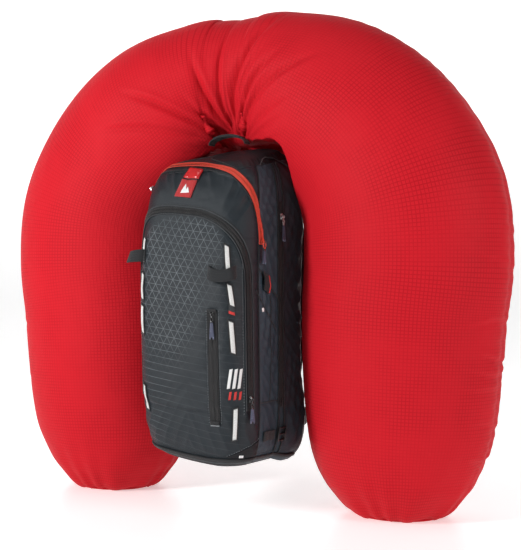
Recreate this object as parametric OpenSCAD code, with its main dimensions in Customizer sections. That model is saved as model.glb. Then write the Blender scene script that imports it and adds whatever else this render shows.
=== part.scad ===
/* [Pack] */
// Height of the pack body from its base to its top seam
pack_h = 546; // [540:2:552]
// Width of the pack across its outer face
pack_front_w = 232; // [228:2:234]
// Width of the pack across its back panel
pack_back_w = 272; // [268:2:274]
// Depth of the pack from back panel to outer face
pack_depth = 206; // [202:2:208]
// Height of the pack's base above the floor
base_z = 94; // [92:2:96]
// Thickness of a fabric panel with its lining
panel_t = 2.4; // [2:0.2:3]

/* [Airbag] */
// Width of the inflated airbag across its two legs
bag_w = 1040; // [1030:2:1050]
// Thickness of the airbag skin
skin_t = 1; // [0.8:0.1:1.6]
// Depth of the airbag tube as a share of its width
bag_flat = 0.86; // [0.84:0.01:0.88]

/* [Gas system] */
// Radius of the gas cylinder
cylinder_r = 28; // [26:1:30]
// Length of the gas cylinder without its neck
cylinder_l = 236; // [220:2:240]

/* [Zips and webbing] */
// Width of a zip over its tapes
zip_w = 9; // [8:0.5:10]
// Thickness of a strap of webbing
webbing_t = 1.6; // [1.4:0.1:2]

/* [Hidden] */
charcoal = [0.18, 0.21, 0.24];
black = [0.06, 0.06, 0.07];
red = [0.78, 0.08, 0.12];
orange = [0.93, 0.25, 0.17];
white = [0.9, 0.91, 0.88];
steel = [0.62, 0.64, 0.66];
grey = [0.45, 0.47, 0.55];

// Vectors and paths
function unit(v) = v / norm(v);
function mix(a, b, t) = a + (b - a) * t;
function clamp(x, low, high) = min(max(x, low), high);
function reversed(list) = [for (i = [len(list) - 1:-1:0]) list[i]];
function tangent(path, i) = unit(path[min(i + 1, len(path) - 1)] - path[max(i - 1, 0)]);
function spline_at(a, b, c, d, t) =
    (2 * b + (c - a) * t + (2 * a - 5 * b + 4 * c - d) * t * t + (3 * b - a - 3 * c + d) * t * t * t) / 2;
// A smooth line through every point of p, with steps stretches between neighbours
function spline(p, steps) = let (last = len(p) - 1) [
    for (i = [0:last - 1], k = [0:steps - 1])
        spline_at(i == 0 ? 2 * p[0] - p[1] : p[i - 1], p[i], p[i + 1],
            i == last - 1 ? 2 * p[last] - p[last - 1] : p[i + 2], k / steps),
    p[last]
];

// One solid through a list of rings, each ring the same number of points, closed at both ends.
// The first turned strips are cut along their other diagonal, so that the inside of a shell
// keeps the facets of its outside.
module skin(rings, turned = 0) {
    n = len(rings[0]);
    last = (len(rings) - 1) * n;
    polyhedron(
        points = [for (r = rings) each r],
        faces = [
            for (j = [0:len(rings) - 2], i = [0:n - 1])
                let (a = j * n + i, b = j * n + (i + 1) % n)
                    each j < turned ? [[a, a + n, b + n], [a, b + n, b]]
                        : [[a, a + n, b], [b, a + n, b + n]],
            for (i = [0:n / 2 - 2]) each [[i, i + 1, n - 1 - i], [i + 1, n - 2 - i, n - 1 - i]],
            for (i = [0:n / 2 - 2])
                each [[last + i, last + n - 1 - i, last + i + 1],
                    [last + i + 1, last + n - 1 - i, last + n - 2 - i]]
        ]
    );
}

// A round tube of radius r along path; up is a direction that the path never follows
module tube(path, r, up = [1, 0, 0], sides = 8) {
    skin([for (i = [0:len(path) - 1])
        let (t = tangent(path, i), b = unit(cross(t, up)), n = cross(t, b))
            [for (k = [0:sides - 1])
                path[i] + r * (cos(360 * k / sides) * b + sin(360 * k / sides) * n)]]);
}

// A flat strap w wide and t thick whose inner face follows path; out[i] is its outward side at path[i]
module ribbon(path, out, w, t) {
    skin([for (i = [0:len(path) - 1])
        let (d = tangent(path, i), o = unit(out[i] - (out[i] * d) * d), s = cross(o, d) * w / 2)
            [path[i] - s, path[i] + s, path[i] + s + t * o, path[i] - s + t * o]]);
}

module both_sides() {
    children();
    mirror([1, 0, 0]) children();
}

module rounded_plate(w, h, t, r) {
    linear_extrude(t) hull() for (x = [-1, 1], y = [-1, 1])
        translate([x * (w / 2 - r), y * (h / 2 - r)]) circle(r, $fn = 32);
}

// The pack body's outer surface. s runs round the section in millimetres from the middle of the
// outer face; z is height. The section shrinks towards the base and the top by fill().
corner_r = 50;
rear_r = 20;
front_flat = pack_front_w / 2 - corner_r;
corner_arc = corner_r * PI / 2;
back_y = 12;
front_y = back_y - pack_depth;
side_a = [pack_front_w / 2, front_y + corner_r];
side_b = [pack_back_w / 2, back_y - rear_r];
side_run = norm(side_b - side_a);
rear_arc = rear_r * PI / 2;
s_corner = front_flat + corner_arc;
s_side_zip = s_corner + side_run / 2;
s_rear = s_corner + side_run + rear_arc;
s_back = s_rear + pack_back_w / 2 - rear_r;
middle_z = base_z + pack_h / 2;
centre_y = back_y - pack_depth / 2;
top_tilt = 45;
crown = 8;
function section_right(s) =
    s < front_flat ? [s, front_y]
    : s < s_corner ? let (a = (s - front_flat) / corner_arc * 90)
        [front_flat + corner_r * sin(a), front_y + corner_r * (1 - cos(a))]
    : s < s_corner + side_run ? mix(side_a, side_b, (s - s_corner) / side_run)
    : s < s_rear ? let (a = (s - s_corner - side_run) / rear_arc * 90)
        [pack_back_w / 2 - rear_r * (1 - cos(a)), back_y - rear_r + rear_r * sin(a)]
    : [pack_back_w / 2 - rear_r - (s - s_rear), back_y];
function section(s) = s < 0 ? let (p = section_right(-s)) [-p[0], p[1]] : section_right(s);
function fill(z) = pow(1 - pow(min(abs(z - middle_z) / (pack_h / 2), 1), 7), 1 / 7);
function top_share(z) = pow(clamp((z - base_z) / pack_h / 0.38 - 1.63, 0, 1), 2);
// A point of the surface drawn in by inset, for a given fill share k
function shell(s, z, k, inset = 0) =
    let (
        p = section(s), u = top_share(z),
        front = clamp((centre_y - p[1]) / (pack_depth / 2), 0, 1),
        bulged = p[1] - crown * front * (1 - pow(p[0] / pack_front_w * 2, 2)),
        low = 1 - 0.06 * (1 - clamp((z - base_z) / (0.6 * pack_h), 0, 1)),
        x = p[0] * (1 - 0.06 * u) * k, y = centre_y + (bulged - centre_y) * k,
        wide = pack_front_w / 2, deep = pack_depth / 2
    )
    [x * (1 - inset / wide),
        back_y + (centre_y + (y - centre_y) * (1 - inset / deep) - back_y) * (1 - 0.2 * u) * low,
        z + top_tilt * u * (1 + (y - back_y) / pack_depth)
            - inset * sign(z - middle_z) * pow(abs(z - middle_z) / (pack_h / 2), 6)];
function on_pack(s, z, lift = 0) = let (p = shell(s, z, fill(z))) p + lift * out_of_pack(s, z);
function out_of_pack(s, z) = let (
        a = shell(s - 1, z, fill(z)), b = shell(s + 1, z, fill(z)),
        c = shell(s, z - 1, fill(z - 1)), d = shell(s, z + 1, fill(z + 1)))
    unit(cross(b - a, d - c));
function level(t) = middle_z + t * pack_h / 2;

// A panel of the body between two stations of the section and two levels
module panel(s_from, s_to, columns, levels) {
    skin([for (t = levels) let (z = level(t), k = fill(z)) concat(
        [for (i = [0:columns]) shell(mix(s_from, s_to, i / columns), z, k)],
        [for (i = [columns:-1:0]) shell(mix(s_from, s_to, i / columns), z, k, panel_t)])]);
}

// A cap of the body above or below a level, through rings of ever smaller fill
module cap(levels, downwards = false) {
    // The ring starts in a corner, so that no triangle of the flat end is a line
    round_s = [for (i = [0:39])
        let (s = 10 - s_corner + 2 * s_back * i / 40) s > s_back ? s - 2 * s_back : s];
    function ring(t, inset) = let (z = level(t), k = fill(z)) [for (s = round_s) shell(s, z, k, inset)];
    rings = concat([for (t = reversed(levels)) ring(t, panel_t)], [for (t = levels) ring(t, 0)]);
    skin(downwards ? reversed(rings) : rings);
}

body_levels = [-0.965, -0.93, -0.87, -0.78, -0.6, -0.3, 0, 0.3, 0.6];
upper_levels = [0.6, 0.7, 0.78, 0.87, 0.93];
top_level = 0.93;

module front_panel() color(charcoal) panel(-s_corner, s_corner, 24, body_levels);
module upper_front_panel() color(charcoal) panel(-s_corner, s_corner, 24, upper_levels);
module side_panel() color(charcoal)
    panel(s_corner, s_side_zip, 4, concat(body_levels, [for (i = [1:4]) upper_levels[i]]));
module rear_side_panel() color(charcoal)
    panel(s_side_zip, s_rear, 8, concat(body_levels, [for (i = [1:4]) upper_levels[i]]));
module back_liner() color(black) panel(s_rear, 2 * s_back - s_rear, 8, concat(body_levels, [0.66]));
module top_panel() color(charcoal) cap([top_level + 0.004, 0.96, 0.985, 0.997, 0.9999]);
module base_panel() color(black) cap([-0.967, -0.98, -0.993, -0.999, -0.99999], true);

// Webbing, tape or a zip laid on the body's surface along stations [s, z]
module on_surface(route, w, t, lift = 0.8)
    ribbon([for (q = route) on_pack(q[0], q[1], lift)], [for (q = route) out_of_pack(q[0], q[1])], w, t);
// Puts children on the surface: their x runs round the section, y up and z outwards
module at_pack(s, z, lift = 0) {
    o = out_of_pack(s, z);
    side = unit(cross(on_pack(s, z + 20) - on_pack(s, z - 20), o));
    up = cross(o, side);
    p = on_pack(s, z, lift);
    multmatrix([
        [side[0], up[0], o[0], p[0]], [side[1], up[1], o[1], p[1]], [side[2], up[2], o[2], p[2]],
        [0, 0, 0, 1]
    ]) children();
}

// Piping round the base hem and the zips
zip_lift = 0.8;
// The pack hangs a little askew, so what runs across its front drops by lean per mm to the right
lean = 0.11;
arch_s = 118;
arch_left_s = 124;
arch_foot = 430;
arch_rise = 120;
arch_low = 200;
// A quarter of the arch is a superellipse, squarer on the left
function arch_point(s, power) = let (
        share = abs(s) / (s > 0 ? arch_s : arch_left_s),
        up = arch_rise * pow(1 - pow(share, power), 1 / power))
    [s, arch_foot + up - lean * s];
arch_route = concat(
    [for (z = [arch_low:36:arch_foot - 14]) [arch_s, z]],
    [for (a = [4:8:84]) arch_point(arch_s * pow(cos(a), 2 / 2.4), 2.4)],
    [for (a = [84:-8:4]) arch_point(-arch_left_s * pow(cos(a), 2 / 3.5), 3.5)],
    [for (z = [arch_foot:-36:arch_low]) [-arch_left_s, z]]);
top_zip_foot = [151, 490];
top_route = spline([
    top_zip_foot, [149, 510], [145, 524], [133, 556], [122, 577], [109, 594], [94, 609], [78, 620],
    [52, 627], [22, 631], [-10, 633], [-45, 634], [-80, 634], [-108, 632], [-124, 625], [-131, 611],
    [-133, 590]
], 2);
small_zip_s = 55;
small_zip_low = 174;
small_zip_top = 380;
airbag_zip_s = s_side_zip;
airbag_zip_low = 198;
airbag_zip_top = 560;
module base_piping() color(black)
    on_surface([for (i = [0:32]) [mix(-s_rear + 36, s_rear - 36, i / 32), 112]], 5, 2.4, 0.6);
module tool_pocket_zip() color(black) on_surface(arch_route, zip_w, 1.6, zip_lift);
module top_zip() color(orange) on_surface(top_route, zip_w + 3, 1.8, zip_lift);
module small_pocket_zip() color(black) on_surface(
    [for (z = [small_zip_low:29:small_zip_top]) [small_zip_s, z]], zip_w + 3, 1.6, zip_lift);
module airbag_zip() color(black) both_sides() on_surface(
    [for (i = [0:10]) [airbag_zip_s, mix(airbag_zip_low, airbag_zip_top, i / 10)]], zip_w, 1.6, zip_lift);

// Reflective daisy chain: webbing bar-tacked at its ends, raised between them
daisy_w = 12;
// Each stretch: station s, then its lowest and highest z
daisies = [
    [82, 458, 487], [87, 384, 420], [88, 302, 356], [91, 150, 204],
    [-91, 462, 503], [-91, 395, 427], [-91, 334, 382], [-91, 188, 237]
];
module daisy_chains() color(white) for (q = daisies)
    on_surface([for (i = [0:4]) [q[0], mix(q[1], q[2], i / 4)]], daisy_w, 1.4, 0.8);

// Elastic loop for an axe shaft: a band that stands off the surface and comes back to it
loop_w = 24;
module axe_loop(s, z, half, stand) {
    a = on_pack(s - half, z, 3);
    b = on_pack(s + half, z, 3);
    o = out_of_pack(s, z);
    side = unit(b - a);
    // Shares of the way from a to b, and of the stand-off
    shape = [[0, 0], [0.1, 0.7], [0.24, 1], [0.76, 1], [0.9, 0.7], [1, 0]];
    path = [for (q = shape) mix(a, b, q[0]) + o * stand * q[1]];
    ribbon(path, [for (q = shape) o * (0.3 + q[1]) + side * (2 * q[0] - 1)], loop_w, 1.6);
}
module axe_loops() color(black) {
    axe_loop(72, 442, 22, 14);
    axe_loop(-112, 472, 22, 26);
}

// Two-part badge under the top zip
badge_w = 37;
module badge_tab() color(red)
    on_surface([for (i = [0:4]) [mix(-17.5, -8, i / 4), mix(576, 622, i / 4)]], badge_w, 1.6);

// Haul handle: an arch of webbing in front of the airbag's mouth
haul_x = 16;
haul_y = -66;
haul_z = 680;
haul_half = 36;
haul_rise = 15;
module haul_handle() color(black) ribbon(
    [for (i = [0:16]) let (t = 180 * i / 16)
        [haul_x - haul_half * cos(t), haul_y, haul_z + haul_rise * sin(t)]],
    [for (i = [0:16]) let (t = 180 * i / 16) [-cos(t), 0, 0.2 + sin(t)]], 22, 3);

// Compression straps with their ladder locks, low on both sides
strap_z = 150;
module compression_straps() color(black) both_sides() {
    on_surface([for (i = [0:4]) [mix(s_corner + 12, s_corner + 52, i / 4), strap_z]], 18, webbing_t);
    at_pack(s_side_zip, strap_z, 3.2) difference() {
        rounded_plate(24, 26, 3.4, 3);
        for (y = [-6.5, 6.5]) translate([-9, y - 2, -1]) cube([18, 4, 6]);
    }
}

// Back panel, frame and lumbar pad
foam_t = 14;
foam_y = back_y + 0.6;
module upright_plate(w, h, t, r, y, z)
    translate([0, y + t, z]) rotate([90, 0, 0]) rounded_plate(w, h, t, r);
module back_panel() color(black) upright_plate(196, 386, foam_t, 24, foam_y, 322);
module lumbar_pad() color(grey) upright_plate(150, 90, 18, 20, foam_y + foam_t + 0.4, 160);
module frame_sheet() color(white) upright_plate(176, 356, 1.6, 16, -7, 322);
module frame_stays() color(steel) both_sides()
    translate([60, -10.2, 150]) cube([12, 3.2, 340]);

// Shoulder straps, drawn on the right: x, y, z along the face that lies on the wearer
strap_w = 56;
strap_t = 11;
strap_points = [
    [46, 42, 512], [50, 43, 540], [56, 58, 560], [62, 84, 545], [68, 98, 500], [74, 102, 450],
    [82, 98, 400], [92, 84, 350], [100, 70, 318]
];
function arch_out(path) = [for (i = [0:len(path) - 1]) let (t = tangent(path, i)) [0, t[2], -t[1]] * -1];
module strap_right() let (path = spline(strap_points, 3)) ribbon(path, arch_out(path), strap_w, strap_t);
module shoulder_strap_right() color(black) strap_right();
module shoulder_strap_left() color(black) mirror([1, 0, 0]) strap_right();
lower_web = [[100.5, 67, 314], [104, 50, 270], [108, 30, 232], [110, 15, 206]];
lifter = on_pack(s_rear - 8, 586, 5);
module strap_webbing() color(black) both_sides() {
    let (path = spline(lower_web, 2)) ribbon(path, [for (v = path) [0, 1, 0.3]], 20, webbing_t);
    ribbon([[70, 80, 568], mix([70, 80, 568], lifter, 0.5) - [0, 0, 2], lifter],
        [for (i = [0:2]) [0, 0.2, 1]], 15, webbing_t);
}

// Sternum strap on two short rails, with its buckle in the middle
rail_z = 452;
rail_x = 60;
rail_y = 122;
rail_lean = 3;
rail_l = 84;
sternum_lean = [rail_lean, 0, 0];
buckle_w = 30;
web_l = rail_x - 6.3 - buckle_w / 2 - 0.3;
module rails_at() for (side = [-1, 1])
    translate([side * rail_x, rail_y, rail_z]) rotate(sternum_lean) children();
module sternum_rails() color(black) rails_at() {
    cylinder(h = rail_l, r = 2, center = true, $fn = 24);
    for (z = [-1, 1]) translate([-5, -7.5, z * (rail_l / 2 + 2) - 2]) cube([10, 10, 4]);
}
module sternum_strap() color(black) {
    rails_at() difference() {
        translate([-6, -4, -9]) cube([12, 9, 18]);
        cylinder(h = 20, r = 2.08, center = true, $fn = 24);
    }
    for (side = [-1, 1]) translate([0, rail_y, rail_z]) rotate(sternum_lean)
        translate([side > 0 ? buckle_w / 2 + 0.3 : -rail_x + 6.3, 1, -8]) cube([web_l, 1.6, 16]);
}
module sternum_buckle() color(grey) translate([0, rail_y + 1.8, rail_z]) rotate(sternum_lean + [90, 0, 0])
    difference() {
        translate([0, 0, -4]) rounded_plate(buckle_w, 20, 8, 4);
        translate([-15.5, -8.5, -1.2]) cube([31, 17, 2.8]);
    }

// Hip belt: each wing turns on a seam beside the lumbar pad
wing_points = [
    [98, 34, 158], [101, 48, 159], [101, 66, 160], [93, 88, 162], [78, 106, 164], [56, 118, 166]
];
module wing_right() let (path = spline(wing_points, 3), last = len(path) - 1)
    skin([for (i = [0:last])
        let (t = tangent(path, i), o = unit([t[1], -t[0], 0]), h = 32 - 12 * i / last, k = 9 - 3 * i / last)
            [path[i] - [0, 0, h], path[i] + [0, 0, h],
                path[i] + [0, 0, h] + k * o, path[i] - [0, 0, h] + k * o]]);
module hip_wing_right() color(black) wing_right();
module hip_wing_left() color(black) mirror([1, 0, 0]) wing_right();
buckle_at = [55.2, 121.8, 166];
buckle_turn = 151.4;
module at_buckle() translate(buckle_at) rotate([0, 0, buckle_turn]) children();
module hip_buckle_male() color(grey) at_buckle() {
    translate([0, -3, -14]) cube([10, 6, 28]);
    for (z = [-9, -1.5, 6]) translate([10, -2, z]) cube([17, 4, 3]);
}
module hip_buckle_female() color(grey) mirror([1, 0, 0]) at_buckle() difference() {
    translate([0, -5, -16]) cube([30, 10, 32]);
    translate([8, -3, -12]) cube([23, 6, 24]);
}

// Leg strap stowed on the lumbar pad, ending in a carabiner
carabiner_y = foam_y + foam_t + 19.4;
carabiner_z = 150;
carabiner_t = 7;
gate_pivot = [8.4, -17];
module carabiner_plane()
    translate([0, carabiner_y + carabiner_t, carabiner_z]) rotate([90, 0, 0]) children();
module leg_strap() color(black) carabiner_plane() translate([-8, 30.2, 1.5]) cube([16, 30, 2.4]);
module carabiner_body() color(steel) carabiner_plane() difference() {
    rounded_plate(28, 60, carabiner_t, 13);
    translate([-3, 0, -1]) rounded_plate(13, 46, carabiner_t + 2, 6);
    translate([3, -22, -1]) cube([20, 38, carabiner_t + 2]);
}
module carabiner_gate() color(grey) carabiner_plane() {
    translate([gate_pivot[0], -17, 1]) cylinder(h = carabiner_t - 2, r = 3, $fn = 24);
    translate([gate_pivot[0] - 2.4, -17, 1]) cube([4.8, 32, carabiner_t - 2]);
}

// Gas system inside the pack
gas = [62, -52];
gas_low = 186;
neck_r = 10;
gas_top = gas_low + cylinder_l;
head_z = gas_top + 18.3;
head_h = 36;
lever_z = head_z + head_h + 12;
lever_arm = 14;
module gas_cylinder() color(steel) translate([gas[0], gas[1], gas_low])
    rotate_extrude($fn = 64) polygon(concat(
    [[0, 0], [cylinder_r - 8, 0]],
    [for (a = [-90:15:0]) [cylinder_r - 8 + 8 * cos(a), 8 + 8 * sin(a)]],
    [for (a = [0:15:75]) [(cylinder_r - neck_r) * cos(a) + neck_r, cylinder_l - 18 + 18 * sin(a)]],
    [[neck_r, cylinder_l], [neck_r, cylinder_l + 18], [2.5, cylinder_l + 18], [2.5, cylinder_l - 4],
        [cylinder_r - 6, cylinder_l - 24], [cylinder_r - 3, cylinder_l - 32], [cylinder_r - 3, 12],
        [cylinder_r - 10, 4], [0, 4]]));
module percussion_head() color(steel) translate([gas[0], gas[1], head_z]) difference() {
    union() {
        translate([-19, -16, 0]) cube([38, 32, head_h]);
        for (y = [-9, 5]) translate([-lever_arm - 5, y, head_h]) cube([10, 4, 17]);
    }
    translate([0, 0, -1]) cylinder(h = head_h + 2, r = 3.08, $fn = 32);
    translate([-lever_arm, 0, 12 + head_h]) rotate([90, 0, 0])
        cylinder(h = 40, r = 2, center = true, $fn = 24);
}
module lever_pin() color(steel) translate([gas[0] - lever_arm, gas[1], lever_z]) rotate([90, 0, 0])
    cylinder(h = 20, r = 1.9, center = true, $fn = 24);
module firing_lever() color(grey)
    translate([gas[0] - lever_arm, gas[1], lever_z]) rotate([90, 0, 0]) difference() {
    translate([0, 0, -4.6]) union() {
        translate([-16, -3.5, 0]) cube([36, 7, 9.2]);
        cylinder(h = 9.2, r = 4.4, $fn = 32);
    }
    cylinder(h = 20, r = 1.98, center = true, $fn = 24);
    translate([-12, 0, 0]) rotate([90, 0, 0]) cylinder(h = 20, r = 1.6, center = true, $fn = 24);
}
pin_top = lever_z - 4.2;
module firing_pin() color(steel) translate([gas[0], gas[1], head_z + 8])
    cylinder(h = pin_top - head_z - 8, r = 3, $fn = 32);
ejector_x = 26;
ejector_y = -40;
ejector_z = 540;
ejector_h = 34;
ejector_r = 19;
hose_points = [
    [42.5, -52, 462], [34, -52, 464], [22, -50, 476], [10, -46, 496], [3, -42, 512], [0, -40, 525]
];
module gas_hose() color(black) {
    tube(spline(hose_points, 3), 4, [0, 1, 0]);
    translate([0, ejector_y, 530]) rotate([0, 90, 0]) cylinder(h = 60, r = 5, center = true, $fn = 24);
}
module ejectors() color(grey) both_sides() translate([ejector_x, ejector_y, ejector_z]) difference() {
    cylinder(h = ejector_h, r = ejector_r, $fn = 48);
    translate([0, 0, 3]) cylinder(h = ejector_h, r = ejector_r - 2.4, $fn = 48);
    for (a = [0:60:300]) rotate([0, 0, a]) translate([10, 0, -1]) cylinder(h = 5, r = 3, $fn = 24);
}
flap_r = ejector_r - 5;
module flap(side) translate([side * ejector_x, ejector_y, ejector_z + 4]) {
    cylinder(h = 0.8, r = flap_r, $fn = 32);
    translate([-4, -flap_r - 1, 0]) cube([8, 3, 0.8]);
}
module flap_right() color(orange) flap(1);
module flap_left() color(orange) flap(-1);

// Airbag: two chambers that meet at the top, fed by one throat
bag_y = 40;
mouth_x = 16;
port_r = 19;
leg_x = bag_w / 2 - 201;
foot_r = 80;
// Centre line of the right chamber with its half width: x, z, half width
bag_stations = [
    [mouth_x, 809, 128], [72, 801, 146], [150, 763, 170], [226, 712, 180], [286, 642, 184],
    [leg_x + 1, 560, 190], [leg_x + 8, 462, 192], [leg_x + 1, 372, 189], [leg_x - 3, 284, 185],
    [leg_x - 6, 195, 178], [leg_x - 9, 122, 165], [leg_x - 9, 64, 141], [leg_x - 9, 30, 116],
    [leg_x - 9, 10, 97], [leg_x - 9, 0, foot_r]
];
// The chambers press against the pack and keep this envelope clear
function off_pack(p) = let (
        a = pack_back_w / 2 + 4, b = 306, h = max(0, p[2] - 380),
        q = pow(pow(p[0] / a, 6) + pow(h / b, 6), 1 / 6))
    q >= 1 ? p : [p[0] / q, p[1], h > 0 ? 380 + h / q : p[2]];
bag_line = spline(bag_stations, 2);
function bag_axis(i) = let (a = bag_line[max(i - 1, 0)], b = bag_line[min(i + 1, len(bag_line) - 1)])
    i == 0 ? [1, 0] : i == len(bag_line) - 1 ? [0, -1] : unit([b[0] - a[0], b[1] - a[1]]);
function bag_ring(i, r) = let (c = bag_line[i], t = bag_axis(i))
    [for (k = [0:19]) let (a = 18 * k + 9)
        off_pack([c[0] - t[1] * r * cos(a), bag_y - bag_flat * r * sin(a), c[1] + t[0] * r * cos(a)])];
// The inside of a ring: every point moves towards the centre line by the thickness of the skin
function inner_ring(i, last) = let (c = [bag_line[i][0], bag_y, bag_line[i][1]])
    [for (p = bag_ring(i, bag_line[i][2]))
        p + skin_t * unit(c - p) + (i == 0 ? [skin_t, 0, 0] : i == last ? [0, 0, skin_t] : [0, 0, 0])];
module chamber() {
    last = len(bag_line) - 1;
    outer = [for (i = [0:last]) bag_ring(i, bag_line[i][2])];
    inner = [for (i = [last:-1:0]) inner_ring(i, last)];
    port = bag_ring(0, port_r);
    skin(concat(inner, [[for (p = port) p + [skin_t, 0, 0]]], [port], outer), last);
}
module airbag_chamber_right() color(red) chamber();
module airbag_chamber_left() color(red) mirror([1, 0, 0]) chamber();
neck_points = [
    [0, -38, 584], [0, -28, 592], [0, -8, 598], [0, 14, 606], [0, 32, 628], [0, bag_y, 664], [0, bag_y, 809]
];
module airbag_necks() color(red) {
    tube(spline(neck_points, 3), 12, [1, 0, 0]);
    translate([0, bag_y, 809]) rotate([0, 90, 0])
        cylinder(h = 2 * mouth_x + 24, r = port_r - 3, center = true, $fn = 32);
    translate([0, ejector_y, ejector_z + ejector_h + 0.4]) rounded_plate(92, 40, 8, 19);
}
module airbag_anchor_tabs() color(black) both_sides()
    ribbon([[70, 22, 566], [70, 24, 610], [70, 27, 652]], [for (i = [0:2]) [0, 1, 0]], 24, webbing_t);

// Trigger: handle in its holster on the left strap, cable over the shoulder to the percussion head
holster = [-83, 120, 392];
holster_h = 30;
module at_holster() translate(holster) rotate([-8, -9, 0]) children();
module trigger_holster() color(black) at_holster() difference() {
    cylinder(h = holster_h, r = 9, $fn = 48);
    translate([0, 0, -1]) cylinder(h = holster_h - 3, r = 6.6, $fn = 48);
    cylinder(h = holster_h + 1, r = 1.4, $fn = 24);
}
module trigger_handle() color(red) at_holster() {
    translate([0, 0, -14]) cylinder(h = holster_h + 6, r = 6.2, $fn = 48);
    translate([0, 0, -44]) rotate([90, 0, 0]) translate([0, 0, -6]) linear_extrude(12) difference() {
        hull() for (x = [-9, 9], y = [4, 26]) translate([x, y]) circle(6, $fn = 32);
        hull() for (x = [-4, 4], y = [7, 16]) translate([x, y]) circle(3.4, $fn = 32);
    }
}
cable_r = 2.4;
cable_points = [
    [-88.3, 125, 424], [-88, 127, 440], [-86, 126, 470], [-80, 122, 502], [-72, 112, 540], [-64, 88, 576],
    [-56, 56, 594], [-52, 30, 596], [-54, 6, 586], [-56, -20, 572], [-54, -52, 556], [-36, -68, 536],
    [0, -72, 522], [30, -64, 512], [42, -54, 503]
];
module trigger_cable() color(black) tube(spline(cable_points, 3), cable_r, [0.3, 0, 1]);

// Zip sliders, each with a bar that carries its pull
slider_l = 11;
bar_z = 4.6;
pull_l = 30;
module slider() {
    translate([-3.6, -slider_l / 2, 0]) cube([7.2, slider_l, 2]);
    for (x = [-3.4, 2.2]) translate([x, -2, 2]) cube([1.2, 4, bar_z - 1]);
    translate([-3.4, 0, bar_z]) rotate([0, 90, 0]) cylinder(h = 6.8, r = 0.8, $fn = 24);
}
module pull() difference() {
    union() {
        translate([-1.8, 0, bar_z]) rotate([0, 90, 0]) cylinder(h = 3.6, r = 2, $fn = 32);
        translate([-1.8, -7, bar_z - 1]) cube([3.6, 7, 2]);
        translate([-4, -pull_l, bar_z - 1]) cube([8, pull_l - 7, 2]);
    }
    translate([-5, 0, bar_z]) rotate([0, 90, 0]) cylinder(h = 10, r = 1, $fn = 24);
}
module tool_place() at_pack(arch_s, 220, 3) children();
module small_place() at_pack(small_zip_s, 371, 3) children();
module airbag_place() at_pack(airbag_zip_s, 536, 3.4) children();
module top_place() at_pack(top_zip_foot[0], top_zip_foot[1] + 4, 3.2) children();
module tool_pocket_slider() color(black) tool_place() slider();
module tool_pocket_pull() color(grey) tool_place() pull();
module small_pocket_slider() color(black) small_place() slider();
module small_pocket_pull() color(grey) small_place() pull();
module airbag_zip_slider() color(steel) airbag_place() slider();
module airbag_zip_pull() color(grey) airbag_place() pull();
module top_zip_slider() color(orange) top_place() slider();
module top_zip_pull() color(grey) top_place() pull();
module side_panel_right() side_panel();
module side_panel_left() mirror([1, 0, 0]) side_panel();
module rear_side_panel_right() rear_side_panel();
module rear_side_panel_left() mirror([1, 0, 0]) rear_side_panel();

airbag_chamber_right();
airbag_chamber_left();
airbag_necks();
airbag_anchor_tabs();
front_panel();
upper_front_panel();
side_panel_right();
side_panel_left();
rear_side_panel_right();
rear_side_panel_left();
top_panel();
base_panel();
back_liner();
base_piping();
tool_pocket_zip();
top_zip();
airbag_zip();
small_pocket_zip();
daisy_chains();
axe_loops();
badge_tab();
haul_handle();
compression_straps();
back_panel();
lumbar_pad();
frame_sheet();
frame_stays();
shoulder_strap_right();
shoulder_strap_left();
strap_webbing();
sternum_rails();
sternum_strap();
sternum_buckle();
hip_wing_right();
hip_wing_left();
hip_buckle_male();
hip_buckle_female();
leg_strap();
carabiner_body();
carabiner_gate();
gas_cylinder();
percussion_head();
firing_lever();
lever_pin();
firing_pin();
gas_hose();
ejectors();
flap_right();
flap_left();
trigger_cable();
trigger_holster();
trigger_handle();
tool_pocket_slider();
tool_pocket_pull();
small_pocket_slider();
small_pocket_pull();
airbag_zip_slider();
airbag_zip_pull();
top_zip_slider();
top_zip_pull();
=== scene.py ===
"""The looks of an avalanche airbag backpack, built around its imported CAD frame. All in metres."""

import itertools
import math

import bmesh
import bpy
import numpy as np
from mathutils import Matrix, Vector, noise


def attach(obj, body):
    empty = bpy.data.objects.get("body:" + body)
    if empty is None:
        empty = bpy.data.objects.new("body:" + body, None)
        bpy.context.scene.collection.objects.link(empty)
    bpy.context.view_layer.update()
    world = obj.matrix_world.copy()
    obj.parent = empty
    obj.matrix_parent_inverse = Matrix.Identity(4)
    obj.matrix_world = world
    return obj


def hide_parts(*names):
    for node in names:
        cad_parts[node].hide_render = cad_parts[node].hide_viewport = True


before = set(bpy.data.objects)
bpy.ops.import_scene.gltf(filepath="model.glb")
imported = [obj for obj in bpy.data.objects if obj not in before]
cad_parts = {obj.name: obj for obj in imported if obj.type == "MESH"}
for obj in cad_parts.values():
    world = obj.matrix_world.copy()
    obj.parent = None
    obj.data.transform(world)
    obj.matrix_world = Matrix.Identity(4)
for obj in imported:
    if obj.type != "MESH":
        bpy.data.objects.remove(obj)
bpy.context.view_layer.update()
MM = 0.001
TINY = 1e-9
FAR = 9.0
SIDES = (("right", 1), ("left", -1))

# The pack hangs a little askew: what runs across its front drops by LEAN per metre to the right
LEAN = 0.11
# The arched zip of the tool pocket: half widths, foot and height of its round part
ARCH_S = 0.118
ARCH_LEFT = 0.124
ARCH_FOOT = 0.430
ARCH_RISE = 0.120
# How square its two shoulders are
ARCH_POWER = 2.4
ARCH_LEFT_POWER = 3.5
# The upright zip of the small pocket: station, foot and top
SMALL_S = 0.055
SMALL_LOW = 0.179
SMALL_TOP = 0.374

# Camera and stage --------------------------------------------------------------------------------
VIEW_AZIMUTH = math.radians(27.56)
CAMERA_DISTANCE = 2.0
CAMERA_HEIGHT = 0.437
CAMERA_YAW = math.radians(-1.25)
FOCAL_SHARE = 1034.6 / 550
SENSOR = 36.0


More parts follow.
